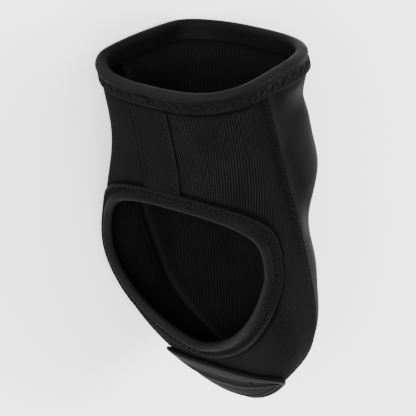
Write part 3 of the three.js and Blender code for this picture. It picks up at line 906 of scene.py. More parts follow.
def add_sole():
    turn, share, index = sole_grid()
    flat = cloth(turn, share, 0.0, SOLE_PROUD)
    walked = walk(flat, 1)
    across = walked - walked[:, SOLE_COLUMNS // 2][:, None]
    faces, beyond = cut_opening(turn, share, across, index)
    over_toe = seam_start(0)
    apex = last_place(0.5, np.array(over_toe))
    from_edge = np.where(share > over_toe, np.minimum(walked, walked[:, -1:] - walked),
                         np.linalg.norm(flat - apex, axis=-1))
    sink = SEAM_SINK * (1 - smoothstep(from_edge, 0, SEAM_ROUND))
    groove = strip_groove(across, share)
    from_collar = (collar_share(turn) - share) * COVER_LENGTH
    pressed = np.maximum(pressed_by_tape(from_collar - COLLAR_BAND), pressed_by_tape(beyond))
    height = SOLE_PROUD - sink - GROOVE_DEPTH * groove - EDGE_PRESS * pressed
    outer = cloth(turn, share, height, SOLE_PROUD)
    inner = cloth(turn, share, SOLE_PROUD - SOLE_WALL - sink / 2, SOLE_PROUD)
    # Painted shade: the cloth is painted darker beyond the tapes' edges, in the grooves beside the strip and
    # along the seam.
    shaded = np.maximum.reduce([pressed, groove, np.exp(-((from_edge / SEAM_SHADE) ** 2))])
    weave = sole_weave(flat, share, across)
    return add_sheet("sole_cloth", outer, inner, faces, weave, -shaded, "sole_panel")


sole_cloth = add_sole()

# %% [markdown]
# The lapped strip
#
# Behind the opening the sole panel's middle seam is covered by a strip of the same cloth, which
# stands a little above it. It is a thin bar bent over the sole, with round shoulders.

# %% Lapped strip
STRIP_SHOULDER = 0.5
STRIP_POWERS = (0.12, 0.5)  # of the cosine across and the sine upwards: flat, with round shoulders
STRIP_COLUMNS = 36
STRIP_ROWS = 90
STRIP_BACK = -(COVER_LENGTH - COLLAR_BAND) - STRIP_UNDER_TAPE


def add_strip():
    angle = np.linspace(0, 2 * math.pi, STRIP_COLUMNS, endpoint=False)
    half = STRIP_WIDTH / 2
    side = half * signed_power(np.cos(angle), STRIP_POWERS[0])
    height = STRIP_PROUD * signed_power(np.sin(angle), STRIP_POWERS[1])
    x = np.linspace(STRIP_FRONT, STRIP_BACK, STRIP_ROWS)[:, None]
    points = on_sole(x, STRIP_SHIFT + side, SOLE_PROUD + height)
    index = closed_index(STRIP_ROWS, STRIP_COLUMNS, close_columns=True)
    faces = grid_faces(index)
    faces += [index[0, :-1].tolist()[::-1], index[-1, :-1].tolist()]
    weave = np.stack(np.broadcast_arrays(STRIP_SHIFT + side, -x), axis=-1).reshape(-1, 2)
    # Shoulders painted paler, as rubbing and as a painted highlight; a painted shade beyond the collar tape's
    # edge.
    rub_and_painted_light = (np.abs(side) > half - STRIP_SHOULDER) - pressed_by_tape(COVER_LENGTH + x - COLLAR_BAND)
    return add_piece("lap_strip", points.reshape(-1, 3), faces, weave, rub_and_painted_light.ravel())


lap_strip = add_strip()

# %% [markdown]
# Folded tape
#
# Stretch tape is folded over a raw edge and sewn through. The fold stays plump, like a thin roll,
# and the stitches press a channel beside it. A profile of the folded tape is swept round each edge,
# and the channel is drawn in between the needle's holes.

# %% Profile of the tape
FOLD_POINTS = 22
BAND_POINTS = 12
CUT_EDGE = ((0.05, 1.0), (0.0, 0.6), (0.15, 0.2))  # mm in from the band's end, share of the tape down
ROLL, ROLL_MIDDLE, ROLL_WIDTH = 0.35, 1.6, 1.5
CHANNEL = 0.45
CHANNEL_START = (3.0, 4.0)  # mm from the fold between which the channel sinks
CHANNEL_END = (1.8, 0.9)  # mm from the band's end between which it rises again
OUTER_FACE = (-0.6, 0.4)  # mm from the cloth's face between which the outer face begins


def tape_profile(proud, wall, band):
    """Distances from the fold and heights above the last, and how many of them are outside."""
    top, bottom, middle, radius = fold_round(proud, wall)
    bend = np.linspace(math.pi / 2, -math.pi / 2, FOLD_POINTS)
    run = np.linspace(band - TAPE / 2, radius, BAND_POINTS, endpoint=False)
    outer = np.concatenate([
        [(band - inward, top - TAPE * down) for inward, down in CUT_EDGE],
        np.stack([run, np.full(BAND_POINTS, top)], axis=-1),
        np.stack([radius - radius * np.cos(bend), middle + radius * np.sin(bend)], axis=-1),
        np.stack([run, np.full(BAND_POINTS, bottom)], axis=-1)[::-1],
        [(band, bottom + TAPE / 2)],
    ])
    thin = radius - TAPE
    inner = np.stack([radius - thin * np.cos(bend), middle + thin * np.sin(bend)], axis=-1)[::-1]
    inner = np.concatenate([[(band - CUT_EDGE[0][0], bottom + TAPE)], inner])
    return np.concatenate([outer, inner]), len(outer)


def tape_relief(distance, height, band, proud):
    """The roll's swelling, the sewn channel and the lip beyond it, on the outer face alone."""
    outer = smoothstep(height - proud, *OUTER_FACE)
    roll = ROLL * np.exp(-(((distance - ROLL_MIDDLE) / ROLL_WIDTH) ** 2))
    rising = smoothstep(distance, band - CHANNEL_END[0], band - CHANNEL_END[1])
    channel = CHANNEL * smoothstep(distance, *CHANNEL_START) * (1 - rising)
    return outer * (roll - channel), outer * channel / CHANNEL


collar_profile = tape_profile(SOLE_PROUD, UPPER_WALL + SOLE_PROUD, COLLAR_BAND)
opening_profile = tape_profile(SOLE_PROUD, SOLE_WALL, OPENING_BAND)
print("places round a profile:", len(collar_profile[0]))

# %% Round the two edges
COLLAR_TURNS = 504
OPENING_TURNS = 708


class RoundCollar:
    """Gives a place from a step round the collar, a distance from the fold and a height."""

    steps = COLLAR_TURNS

    def __call__(self, step, distance, height):
        step, distance, height = np.broadcast_arrays(step, distance, height)
        turn = EVEN_COLLAR(step / self.steps)
        share = collar_share(turn) - distance / COVER_LENGTH
        return cloth(turn, share, height + crease_height(turn, share), SOLE_PROUD)


class RoundOpening:
    """Gives the same round the cleat opening."""

    steps = OPENING_TURNS

    def __init__(self):
        self.places, self.out, self.length = opening_outline(self.steps)

    def __call__(self, step, distance, height):
        step, distance, height = np.broadcast_arrays(step, distance, height)
        whole = np.floor(step).astype(int) % self.steps
        part = (step - np.floor(step))[..., None]
        after = (whole + 1) % self.steps
        place = self.places[whole] * (1 - part) + self.places[after] * part
        out = self.out[whole] * (1 - part) + self.out[after] * part
        there = place + distance[..., None] * out
        return on_sole(there[..., 0], there[..., 1], height)


def even_collar():
    """Turns for even steps round the collar's edge, and its length."""
    turns = turn_of_ray(np.linspace(0, 1, OUTLINE_TRIES + 1), np.array(1.0)) % 1
    turns[-1] = 1
    walked = walk(cloth(turns, collar_share(turns), 0.0, SOLE_PROUD), 0)
    return lambda part: np.interp(part % 1, walked / walked[-1], turns), walked[-1]


EVEN_COLLAR, COLLAR_ROUND = even_collar()
round_collar, round_opening = RoundCollar(), RoundOpening()
print("collar edge", round(float(COLLAR_ROUND)), "mm, opening edge", round(float(round_opening.length)), "mm")

# %% Sweep the tape
PUCKER = 0.22
FOLD_RUB_HIGHLIGHT, FOLD_RUB_HIGHLIGHT_WIDTH = 0.8, 1.3  # the line on the fold painted paler, as rubbing and as a painted highlight
FOLD_RUB_HIGHLIGHT_DEPTH = 1.5  # it ends this far below the cloth's face
ZIGZAGS_ROUND_COLLAR = 42
ZIGZAGS_ROUND_OPENING = 118


def add_tape(name, node, profile, outer_count, put, length, band, zigzags):
    """put gives a place from the step round the edge, the distance from the fold and the height."""
    distance, height = profile[:, 0], profile[:, 1]
    relief, pressed = tape_relief(distance, height, band, SOLE_PROUD)
    relief[outer_count:] = 0
    pressed[outer_count:] = 0
    steps = put.steps
    step = np.arange(steps)[:, None]
    wave = 0.5 + 0.5 * np.cos(2 * math.pi * zigzags * 2 * step / steps)
    points = put(step, distance, height + relief - PUCKER * pressed * wave)
    index = closed_index(steps, len(profile), close_rows=True, close_columns=True)
    weave = np.stack(np.broadcast_arrays(distance, step * length / steps), axis=-1).reshape(-1, 2)
    # The fold is painted paler, as rubbing and as a painted highlight.
    rub_and_painted_light = np.exp(-(((distance - FOLD_RUB_HIGHLIGHT) / FOLD_RUB_HIGHLIGHT_WIDTH) ** 2)) * (height > SOLE_PROUD - FOLD_RUB_HIGHLIGHT_DEPTH)
    rub_and_painted_light = np.broadcast_to(rub_and_painted_light, points.shape[:2]).ravel()
    return add_piece(name, points.reshape(-1, 3), grid_faces(index), weave, rub_and_painted_light.astype(float), [node])


collar_tape = add_tape("collar_tape", "collar_binding", *collar_profile, round_collar, COLLAR_ROUND,
                       COLLAR_BAND, ZIGZAGS_ROUND_COLLAR)
opening_tape = add_tape("opening_tape", "opening_binding", *opening_profile, round_opening,
                        round_opening.length, OPENING_BAND, ZIGZAGS_ROUND_OPENING)

# %% [markdown]
# The toe guard
#
# A thin rubber guard is moulded to the toe, with a raised rim round it and a ridge that follows the
# rim. Rings drawn in from its outline, seen from the front, carry that relief as a height.

# %% Front of the last
GUARD_REACH = 0.3  # share of the length by which a line along x has met the toe


def front_of_last(side, height):
    """The turn and share at which a line along x, at a side and a height, meets the toe."""
    near, far = np.zeros_like(side), np.full_like(side, GUARD_REACH)
    for _ in range(HALVINGS):
        share = (near + far) / 2
        section = Section(share)
        squareness, reach = section.quadrant(height < section.wide)
        across = signed_power((side - section.middle) / section.half_width, squareness / 2)
        upward = signed_power((height - section.wide) / reach, squareness / 2)
        outside = np.hypot(across, upward) > 1
        near, far = np.where(outside, share, near), np.where(outside, far, share)
    return np.arctan2(across, -upward) / (2 * math.pi), far


middle_of_guard = np.array([GUARD_SHIFT]), np.array([GUARD_BOTTOM + GUARD_HEIGHT / 2])
met = float(front_of_last(*middle_of_guard)[1][0]) * COVER_LENGTH
print("behind the guard's middle the last is", round(met, 1), "mm from the tip")

# %% Relief of the guard
DIMPLE_SIDE, DIMPLE_HEIGHT = -11.3, 12.3
DIMPLE_SIZE, DIMPLE_DEPTH, DIMPLE_STEEPNESS = 0.8, 0.5, 4


def guard_relief(inset, side, height):
    rim = smoothstep(inset, 0, GUARD_EASE) * (1 - smoothstep(inset, GUARD_RIM, GUARD_RIM + GUARD_EASE))
    relief = GUARD_RIM_PROUD * rim
    for i in range(GUARD_RIDGES):
        foot = GUARD_RIM + (GUARD_HEIGHT / 2 - GUARD_RIM) * (i + 1) / (GUARD_RIDGES + 1)
        bump = np.clip(1 - np.abs(inset - foot) / (RIDGE_WIDTH / 2), 0, 1)
        relief = relief + RIDGE_PROUD * smoothstep(bump, 0, 1)
    dimple = np.hypot(side - DIMPLE_SIDE, height - DIMPLE_HEIGHT) / DIMPLE_SIZE
    return relief - DIMPLE_DEPTH * np.exp(-(dimple**DIMPLE_STEEPNESS))


print("the rim stands", round(float(guard_relief(GUARD_RIM / 2, 0, 0)), 2), "mm proud of the guard")

# %% Toe guard
GUARD_COLUMNS = 200
RIM_STEPS = 46
GUARD_BACK_RINGS = 8
BEVEL, BEVEL_WALL = 0.1, 0.6  # the edge's bevel, and the share of the wall left at the very edge
FIRST_RING = 0.02  # share of the way in from the edge to the middle


def add_guard():
    under = SOLE_PROUD + GUARD_GAP
    inmost = GUARD_HEIGHT / 2 - RIDGE_WIDTH / 4
    back = np.linspace(inmost, 0, GUARD_BACK_RINGS)
    front = np.concatenate([[0, BEVEL], inmost * np.linspace(FIRST_RING, 1, RIM_STEPS)])
    inset = np.concatenate([back, front])[:, None]
    angle = (2 * math.pi * np.arange(GUARD_COLUMNS) / GUARD_COLUMNS)[None, :]
    wave = [signed_power(f(angle), 2 / GUARD_SQUARENESS) for f in (np.cos, np.sin)]
    side = GUARD_SHIFT + wave[0] * (GUARD_WIDTH / 2 - inset)
    rise = GUARD_BOTTOM + GUARD_HEIGHT / 2 + wave[1] * (GUARD_HEIGHT / 2 - inset)
    is_front = (np.arange(len(inset)) >= GUARD_BACK_RINGS)[:, None]
    edge = np.ones((len(inset), 1))
    edge[GUARD_BACK_RINGS] = BEVEL_WALL
    height = under + is_front * (GUARD_WALL * edge + guard_relief(inset, side, rise))
    turn, share = front_of_last(side, rise)
    points = cloth(turn, share, height, SOLE_PROUD)
    index = closed_index(*points.shape[:2], close_columns=True)
    faces = grid_faces(index)
    for ring in (index[0, :-1], index[-1, :-1][::-1]):
        for i in range(GUARD_COLUMNS // 2):
            face = [ring[i], ring[-i], ring[-i - 1], ring[i + 1]]
            face = list(dict.fromkeys(int(k) for k in face))
            if len(face) > 2:
                faces.append(face)
    weave = np.stack([side, rise], axis=-1).reshape(-1, 2)
    # Rim and ridge painted paler, as rubbing and as a painted highlight.
    rub_and_painted_light = (is_front * guard_relief(inset, side, rise) / GUARD_RIM_PROUD).clip(0, 1).ravel()
    return add_piece("guard_rubber", points.reshape(-1, 3), faces, weave, rub_and_painted_light, ["toe_guard"])


guard_rubber = add_guard()

# %% [markdown]
# Stitches
#
# A sewing machine lays thread in short runs between the needle's holes. Each run here is a small tube that
# dips into the cloth at both ends. Instanced curves could do it, but tubes joined in one mesh for each seam
# follow the surface they are sewn to.

# %% Thread
THREAD = 0.5
THREAD_SIDES = 6
RUN = np.array([  # part of the run, lift and thickness in shares of the thread
    (0.00, -0.9, 0.40),
    (0.16, 0.2, 0.95),
    (0.50, 0.5, 1.00),
    (0.84, 0.2, 0.95),
    (1.00, -0.9, 0.40),
])


def add_stitches(name, put, starts, ends):
    """put gives the places of each run's ends and middle from its coordinates on the surface."""
    part, lift, thickness = RUN.T
    middle = starts[:, None] + (ends - starts)[:, None] * part[:, None]
    height = middle[..., 2] + lift * THREAD / 2
    centre = put(middle[..., 0], middle[..., 1], height)
    up = put(middle[..., 0], middle[..., 1], height + 1) - centre
    side = np.cross(np.gradient(centre, axis=1), up)
    side /= np.linalg.norm(side, axis=-1, keepdims=True)
    round_turn = np.arange(THREAD_SIDES) / THREAD_SIDES
    angle = (2 * math.pi * (round_turn - 0.25))[:, None]
    ring = np.cos(angle) * side[:, :, None] + np.sin(angle) * up[:, :, None]
    points = centre[:, :, None] + ring * (THREAD / 2 * thickness)[:, None, None]
    index = closed_index(len(RUN), THREAD_SIDES, close_columns=True)
    one = grid_faces(index) + [index[0, :-1].tolist()[::-1], index[-1, :-1].tolist()]
    faces = [[k + i * len(RUN) * THREAD_SIDES for k in reversed(face)]
             for i in range(len(starts)) for face in one]
    length = np.linalg.norm(centre[:, -1] - centre[:, 0], axis=-1)[:, None, None]
    weave = np.broadcast_arrays(round_turn, part[:, None] * length)
    weave = np.stack(weave, axis=-1).reshape(-1, 2)
    return add_piece(name, points.reshape(-1, 3), faces, weave, np.zeros(len(weave)))


def zigzag(count, pitch, near, far, height, start=0.0):
    """Runs that go to and fro between two distances, pitch apart."""
    hole = np.arange(count + 1)
    across = np.where(hole % 2, far, near)
    holes = np.stack([start + hole * pitch, across, np.full(count + 1, height)], axis=-1)
    return holes[:-1], holes[1:]


# %% Stitches in the tapes
COLLAR_TRACK = (4.7, 7.5)  # mm from the fold between which a zigzag goes to and fro
OPENING_TRACK = (4.4, 7.1)
TACK_TRACK = (4.4, 7.5)
THREAD_CLEAR = 0.1
IN_CHANNEL = TAPE_PROUD - CHANNEL + THREAD_CLEAR
TACK_START, TACK_LENGTH = 0.2, 8.5  # mm along the collar from the middle of the sole
TACK_RUNS = 17

collar_hole = COLLAR_TURNS / (2 * ZIGZAGS_ROUND_COLLAR)
opening_hole = OPENING_TURNS / (2 * ZIGZAGS_ROUND_OPENING)
steps_per_mm = COLLAR_TURNS / COLLAR_ROUND
stitches = [
    add_stitches("collar_stitches", round_collar,
                 *zigzag(2 * ZIGZAGS_ROUND_COLLAR, collar_hole, *COLLAR_TRACK, IN_CHANNEL)),
    add_stitches("opening_stitches", round_opening,
                 *zigzag(2 * ZIGZAGS_ROUND_OPENING, opening_hole, *OPENING_TRACK, IN_CHANNEL)),
    add_stitches("bar_tack", round_collar,
                 *zigzag(TACK_RUNS, TACK_LENGTH / TACK_RUNS * steps_per_mm, *TACK_TRACK,
                         IN_CHANNEL + THREAD / 2, TACK_START * steps_per_mm)),
]

# %% [markdown]
# The seam's stitches
#
# The upper and the sole panel meet edge to edge, glued and then stitched across. The thread draws both edges
# down, which leaves a thin groove, and the sole panel beside it is painted darker, a painted shade, so that
# it shows as the darkest line of the cover.

# %% Stitches across the seam
SEAM_PITCH = 1.1
SEAM_REACH = 1.25
SEAM_THREAD = -0.45  # the thread lies this far down in the seam
SEAM_PLACES = 1500


class AlongSeam:
    """The seam from the collar's outer side, over the toe, to the collar's inner side."""

    def __init__(self):
        part = np.linspace(0, 1, SEAM_PLACES) ** 2
        share = seam_start(0) + (1 - EDGE_TRIM - COLLAR_BAND / COVER_LENGTH - seam_start(0)) * part
        turn = turn_of_ray(seam_ray(share, 0), share)
        share = np.concatenate([share[::-1], share[1:]])
        turn = np.concatenate([1 - turn[::-1], turn[1:]])
        self.places = cloth(turn, share, 0.0, 0)
        self.normals = outward(turn, share, 0)
        along = np.gradient(self.places, axis=0)
        self.sides = np.cross(self.normals, along)
        self.sides /= np.linalg.norm(self.sides, axis=-1, keepdims=True)
        self.walked = walk(self.places, 0)

    def __call__(self, distance, offset, height):
        def at(values):
            return np.stack([np.interp(distance, self.walked, values[:, k]) for k in range(3)], axis=-1)
        return at(self.places) + offset[..., None] * at(self.sides) + height[..., None] * at(self.normals)


along_seam = AlongSeam()
seam_runs = int(along_seam.walked[-1] / SEAM_PITCH)
stitches.append(add_stitches("seam_stitches", along_seam,
                             *zigzag(seam_runs, SEAM_PITCH, -SEAM_REACH, SEAM_REACH, SEAM_THREAD)))
print("the seam is", round(float(along_seam.walked[-1])), "mm long")

# %% [markdown]
# The strip's stitches
#
# The lapped strip is sewn down along both of its edges with plain straight stitches, a run of thread
# and a gap by turns. They are made like the zigzags, from rows of starts and ends on the sole.

# %% Stitches along the strip
STRIP_PITCH = 2.5
STRIP_RUN = 1.7
STRIP_INSET = 1.5

first = np.arange(STRIP_BACK + COLLAR_BAND, STRIP_FRONT - STRIP_UNDER_TAPE, STRIP_PITCH)
rows = [STRIP_SHIFT + side * (STRIP_WIDTH / 2 - STRIP_INSET) for side in (-1, 1)]
starts = np.array([(x, across, SOLE_PROUD + STRIP_PROUD) for across in rows for x in first])
stitches.append(add_stitches("strip_stitches", on_sole, starts, starts + [STRIP_RUN, 0, 0]))

# %% [markdown]
# Shader nodes in short
#
# The finishes are built from nodes. Two short helpers keep each material readable: one adds a node
# with its settings and inputs, the other does one sum. An input may be a number or another's output.

# %% Node helpers
COLOUR_A, COLOUR_B = 6, 7  # the Mix node's sockets for colours


def add_node(tree, kind, inputs=None, **settings):
    node = tree.nodes.new(kind)
    for name, value in settings.items():
        setattr(node, name, value)
    for name, value in (inputs or {}).items():
        if isinstance(value, bpy.types.NodeSocket):
            tree.links.new(value, node.inputs[name])
        else:
            node.inputs[name].default_value = value
    return node


def calculate(tree, operation, *values):
    return add_node(tree, "ShaderNodeMath", dict(enumerate(values)), operation=operation).outputs[0]


def between(tree, value, low, high, start=0.0, end=1.0):
    """Takes a value from the range start to end into the range low to high."""
    inputs = {"Value": value, "From Min": start, "From Max": end, "To Min": low, "To Max": high}
    return add_node(tree, "ShaderNodeMapRange", inputs).outputs["Result"]


def mixed(tree, factor, low, high):
    inputs = {"Factor": factor, COLOUR_A: low, COLOUR_B: high}
    return add_node(tree, "ShaderNodeMix", inputs, data_type="RGBA").outputs[2]


# %% Groups and what the mesh keeps
def new_group(name, inputs, outputs):
    """An empty node group with sockets, and the ends of its inside."""
    group = bpy.data.node_groups.new(name, "ShaderNodeTree")
    for label, value in inputs.items():
        group.interface.new_socket(label, in_out="INPUT", socket_type="NodeSocketFloat").default_value = value
    for label in outputs:
        group.interface.new_socket(label, in_out="OUTPUT", socket_type="NodeSocketFloat")
    return group, group.nodes.new("NodeGroupInput").outputs, group.nodes.new("NodeGroupOutput").inputs


def sine_wave(tree, turns):
    """A sine wave, from -1 to 1, that repeats with every whole turn."""
    return calculate(tree, "SINE", calculate(tree, "MULTIPLY", turns, 2 * math.pi))


def stored(tree, name):
    """The outputs of something kept in the mesh for the finish."""
    return add_node(tree, "ShaderNodeAttribute", attribute_name=name, attribute_type="GEOMETRY").outputs


def weave_axes(tree):
    return add_node(tree, "ShaderNodeSeparateXYZ", {0: stored(tree, "weave")["Vector"]}).outputs


# %% [markdown]
# Knit
#
# Both cloths and the tape are knitted: columns of loops, the wales, stand up as fine ribs, and each
# row of loops makes a small step along them. The pattern is drawn in the cloth's own millimetres,
# kept in "weave", so that it runs with the cloth round every curve.

# %% Knit group
LOOP_FOOT = 0.4  # height of a rib between two loops, as a share of its height on a loop


def knit_group():
    tree, given, made = new_group("knit", {"Rib": 1.25, "Course": 0.9, "Slant": 0.3}, ["Height"])
    axes = weave_axes(tree)
    rib = sine_wave(tree, calculate(tree, "DIVIDE", axes["X"], given["Rib"]))
    slanted = calculate(tree, "MULTIPLY", calculate(tree, "ABSOLUTE", rib), given["Slant"])
    row = calculate(tree, "ADD", calculate(tree, "DIVIDE", axes["Y"], given["Course"]), slanted)
    ridge = between(tree, rib, 0.0, 1.0, -1.0, 1.0)
    loops = between(tree, sine_wave(tree, row), LOOP_FOOT, 1.0, -1.0, 1.0)
    tree.links.new(calculate(tree, "MULTIPLY", ridge, loops), made["Height"])
    return tree


KNIT = knit_group()
print("group:", KNIT.name)

# %% [markdown]
# Fibre, rubbing and painted light
#
# Real cloth is never even. Fine fuzz and slow clouds come from two noises. A raised edge is painted paler
# where the fuzz stands up, as rubbing and as a painted highlight, and the cloth beside a seam, a groove or a
# tape's edge is painted darker, a painted shade.

# %% Fibre, rubbing and painted light groups
NOISE_LOW, NOISE_HIGH = 0.3, 0.7  # nearly all of Blender's noise lies between these
FUZZ_DETAIL, CLOUD_DETAIL = 3.0, 5.0
LEAST_RUB_AND_HIGHLIGHT = 0.5


def fibre_group():
    """Fuzz and unevenness: fine fibres over slow clouds, in metres of the object."""
    tree, given, made = new_group("fibre", {"Fineness": 1800.0, "Clouds": 70.0}, ["Fuzz", "Cloud"])
    place = add_node(tree, "ShaderNodeTexCoord").outputs["Object"]
    for label, scale, detail in (("Fuzz", "Fineness", FUZZ_DETAIL), ("Cloud", "Clouds", CLOUD_DETAIL)):
        inputs = {"Vector": place, "Scale": given[scale], "Detail": detail}
        noise = add_node(tree, "ShaderNodeTexNoise", inputs).outputs["Fac"]
        tree.links.new(between(tree, noise, 0.0, 1.0, NOISE_LOW, NOISE_HIGH), made[label])
    return tree


def rubbing_and_painted_light_group():
    """Where an edge is painted paler, as rubbing and as a painted highlight, broken up by the fuzz of the
    cloth, and where no painted shade darkens it.
    """
    tree, given, made = new_group("rubbing_and_painted_light", {"Fuzz": 0.5, "Amount": 1.0}, ["Mask", "Unshaded"])
    rub_and_painted_light = stored(tree, "rub_and_painted_light")["Fac"]
    # Above nought: painted paler, as rubbing and as a painted highlight.
    worn = calculate(tree, "MAXIMUM", rub_and_painted_light, 0.0)
    broken = calculate(tree, "MULTIPLY", worn, between(tree, given["Fuzz"], LEAST_RUB_AND_HIGHLIGHT, 1.0))
    tree.links.new(calculate(tree, "MULTIPLY", broken, given["Amount"]), made["Mask"])
    # Below nought: a painted shade that darkens the cloth.
    pressed = calculate(tree, "MINIMUM", rub_and_painted_light, 0.0)
    tree.links.new(calculate(tree, "ADD", pressed, 1.0), made["Unshaded"])
    return tree


FIBRE, RUBBING_AND_PAINTED_LIGHT = fibre_group(), rubbing_and_painted_light_group()
print("groups:", FIBRE.name, RUBBING_AND_PAINTED_LIGHT.name)

# %% [markdown]
# A knitted material
#
# One function makes every knitted finish, and each cloth brings its own values. The groups give it
# colour and height; the shader itself stays in the material, with its plain numbers on its sockets.

# %% Start a material
def new_material(name, specular):
    material = bpy.data.materials.new(name)
    material.use_nodes = True
    shader = material.node_tree.nodes["Principled BSDF"]
    shader.inputs["Specular IOR Level"].default_value = specular
    return material, material.node_tree, shader


def grey(value, blue=1.06):
    return (value, value, value * blue, 1)


def raise_surface(tree, shader, height, distance):
    bump = add_node(tree, "ShaderNodeBump", {"Height": height, "Distance": distance * MM, "Strength": 1.0})
    tree.links.new(bump.outputs["Normal"], shader.inputs["Normal"])


def group_in(tree, group, **inputs):
    node = add_node(tree, "ShaderNodeGroup", node_tree=group)
    for name, value in inputs.items():
        socket = node.inputs[name.capitalize()]
        if isinstance(value, bpy.types.NodeSocket):
            tree.links.new(value, socket)
        else:
            socket.default_value = value
    return node.outputs


# %% Knitted materials
DARKEST_CLOUD = 0.45


def knitted(name, greys, knit, relief, roughness, specular, fuzz=0.25):
    """A knitted finish: painted shade in its grooves and beside seams and tapes, paler on raised edges as
    rubbing and as a painted highlight, uneven in gloss. Its greys are those of groove, a painted shade, of
    rib, and of the edge painted paler as rubbing and as a painted highlight, and its relief is in
    millimetres."""
    material, tree, shader = new_material(name, specular)
    loops = group_in(tree, KNIT, **knit)
    fibre = group_in(tree, FIBRE)
    rubbing_and_painted_light = group_in(tree, RUBBING_AND_PAINTED_LIGHT, fuzz=fibre["Fuzz"])
    # Where the painted shade lies, the tone falls to the groove's grey.
    cloud = calculate(tree, "MULTIPLY", rubbing_and_painted_light["Unshaded"], between(tree, fibre["Cloud"], DARKEST_CLOUD, 1.0))
    tone = calculate(tree, "MULTIPLY", loops["Height"], cloud)
    # groove: painted shade in the knit's grooves; worn: paler, as rubbing and as a painted highlight
    groove, rib, worn = (grey(value) for value in greys)
    colour = mixed(tree, rubbing_and_painted_light["Mask"], mixed(tree, tone, groove, rib), worn)
    tree.links.new(colour, shader.inputs["Base Color"])
    tree.links.new(between(tree, fibre["Cloud"], *roughness), shader.inputs["Roughness"])
    height = calculate(tree, "ADD", loops["Height"], calculate(tree, "MULTIPLY", fibre["Fuzz"], fuzz))
    raise_surface(tree, shader, height, relief)
    return material


# %% [markdown]
# Finishes
#
# The upper's neoprene has a smooth jersey face with a faint sheen. The sole panel is a matt ribbed knit. The
# tape is closer knitted, and its fold is painted paler, as rubbing and as a painted highlight. All are dyed
# black, so what tells them apart is how rough they are and how deep their ribs are, more than their colour.

# %% Finishes of the cloths
# greys: groove (a painted shade), rib, and the edge painted paler as rubbing and as a painted highlight
CLOTHS = {
    "neoprene": dict(greys=(0.0007, 0.0015, 0.0025), knit={"rib": 0.8, "course": 0.7}, relief=0.05,
                     roughness=(0.52, 0.66), specular=0.018),
    "rib_knit": dict(greys=(0.0005, 0.008, 0.005), knit={"rib": 1.25, "course": 1.15}, relief=0.2,
                     roughness=(0.8, 0.95), specular=0.02),
    "tape": dict(greys=(0.0012, 0.002, 0.004), knit={"rib": 0.6, "course": 0.8, "slant": 0.6},
                 relief=0.06, roughness=(0.55, 0.7), specular=0.03),
    "lining": dict(greys=(0.002, 0.006, 0.006), knit={"rib": 1.6, "course": 1.4, "slant": 0.9},
                   relief=0.2, roughness=(0.9, 1.0), specular=0.01, fuzz=0.8),
}
cloths = {name: knitted(name, **values) for name, values in CLOTHS.items()}
print("cloth finishes:", ", ".join(cloths))

# %% [markdown]
# The toe rubber
#
# Moulded rubber has the fine pebbled grain of its mould. It is smoother on the rim and the ridge, where the
# road rubs it, and painted paler there, as rubbing and as a painted highlight. The same noise as the cloth's
# fuzz, but finer, gives the grain.

# %% Finish of the toe rubber
RUBBER_GREYS = (0.0007, 0.0011, 0.0022)  # darkest, lightest, and that of rim and ridge, painted paler as rubbing and as a painted highlight
RUBBER_ROUGHNESS = (0.62, 0.45)  # moulded and rubbed
RUBBER_GRAIN = {"fineness": 2600.0, "clouds": 90.0}
GRAIN_DEPTH = 0.02
RUBBER_SPECULAR = 0.016


def rubber_finish():
    material, tree, shader = new_material("toe_rubber", RUBBER_SPECULAR)
    fibre = group_in(tree, FIBRE, **RUBBER_GRAIN)
    rubbing_and_painted_light = group_in(tree, RUBBING_AND_PAINTED_LIGHT, fuzz=fibre["Fuzz"])["Mask"]
    dark, light, worn = (grey(value) for value in RUBBER_GREYS)
    body = mixed(tree, fibre["Cloud"], dark, light)
    # Rim and ridge painted paler: rubbing and a painted highlight.
    tree.links.new(mixed(tree, rubbing_and_painted_light, body, worn), shader.inputs["Base Color"])
    tree.links.new(between(tree, rubbing_and_painted_light, *RUBBER_ROUGHNESS), shader.inputs["Roughness"])
    raise_surface(tree, shader, fibre["Fuzz"], GRAIN_DEPTH)
    return material


toe_rubber = rubber_finish()
print("rubber finish:", toe_rubber.name)

# %% [markdown]
# The thread
#
# Sewing thread is two plies wound round each other. A slanted wave along every run of thread, drawn from the
# "weave" kept on it, gives the twist its height, and paints its crests lighter and its grooves darker, a
# painted highlight and shade.

# %% Finish of the thread
PLIES = 2.0
TWIST = 0.6  # mm of thread for each turn
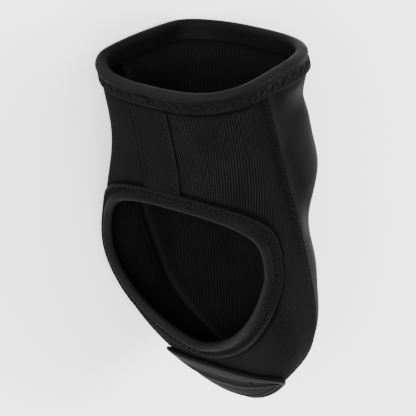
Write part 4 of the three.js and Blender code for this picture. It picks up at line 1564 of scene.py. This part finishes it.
# painted shade in the twist's grooves and painted highlight on its crests
THREAD_GREYS = (0.001, 0.004)
THREAD_ROUGHNESS = (0.75, 0.5)
TWIST_DEPTH = 0.08
THREAD_SPECULAR = 0.04


def thread_finish():
    material, tree, shader = new_material("thread", THREAD_SPECULAR)
    axes = weave_axes(tree)
    winding = calculate(tree, "ADD", calculate(tree, "MULTIPLY", axes["X"], PLIES),
                        calculate(tree, "DIVIDE", axes["Y"], TWIST))
    height = between(tree, sine_wave(tree, winding), 0.0, 1.0, -1.0, 1.0)
    colour = mixed(tree, height, *(grey(value) for value in THREAD_GREYS))
    tree.links.new(colour, shader.inputs["Base Color"])
    tree.links.new(between(tree, height, *THREAD_ROUGHNESS), shader.inputs["Roughness"])
    raise_surface(tree, shader, height, TWIST_DEPTH)
    return material


thread = thread_finish()
print("thread finish:", thread.name)

# %% [markdown]
# Each finish on its piece
#
# The tapes, the strip and the stitches have one finish each. The two cloths have a second one for
# the side that faces the shoe, and the number of faces kept with each piece says where that starts.

# %% Put the finishes on
lap_strip.data.materials.append(cloths["rib_knit"])
guard_rubber.data.materials.append(toe_rubber)
for piece in (collar_tape, opening_tape):
    piece.data.materials.append(cloths["tape"])
for piece in stitches:
    piece.data.materials.append(thread)
for piece, name in ((upper_cloth, "neoprene"), (sole_cloth, "rib_knit")):
    mesh = piece.data
    mesh.materials.append(cloths[name])
    mesh.materials.append(cloths["lining"])
    one_side = piece["faces_on_a_side"]
    inside = np.zeros(len(mesh.polygons), dtype=np.int32)
    inside[one_side:2 * one_side] = 1
    mesh.polygons.foreach_set("material_index", inside)
print("finishes:", [material.name for material in bpy.data.materials])

# %% [markdown]
# Sizes after dressing
#
# The sizes before and after dressing are printed, so that it can be seen whether the fine surfaces stayed
# within the solids' box.

# %% Sizes
boxes = {"cad": [list(corner) for corner in CAD_BOX], "visual": [list(corner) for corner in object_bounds()]}
for name, (low, high) in boxes.items():
    print(name, "box", [round((b - a) / MM, 1) for a, b in zip(low, high)], "mm")
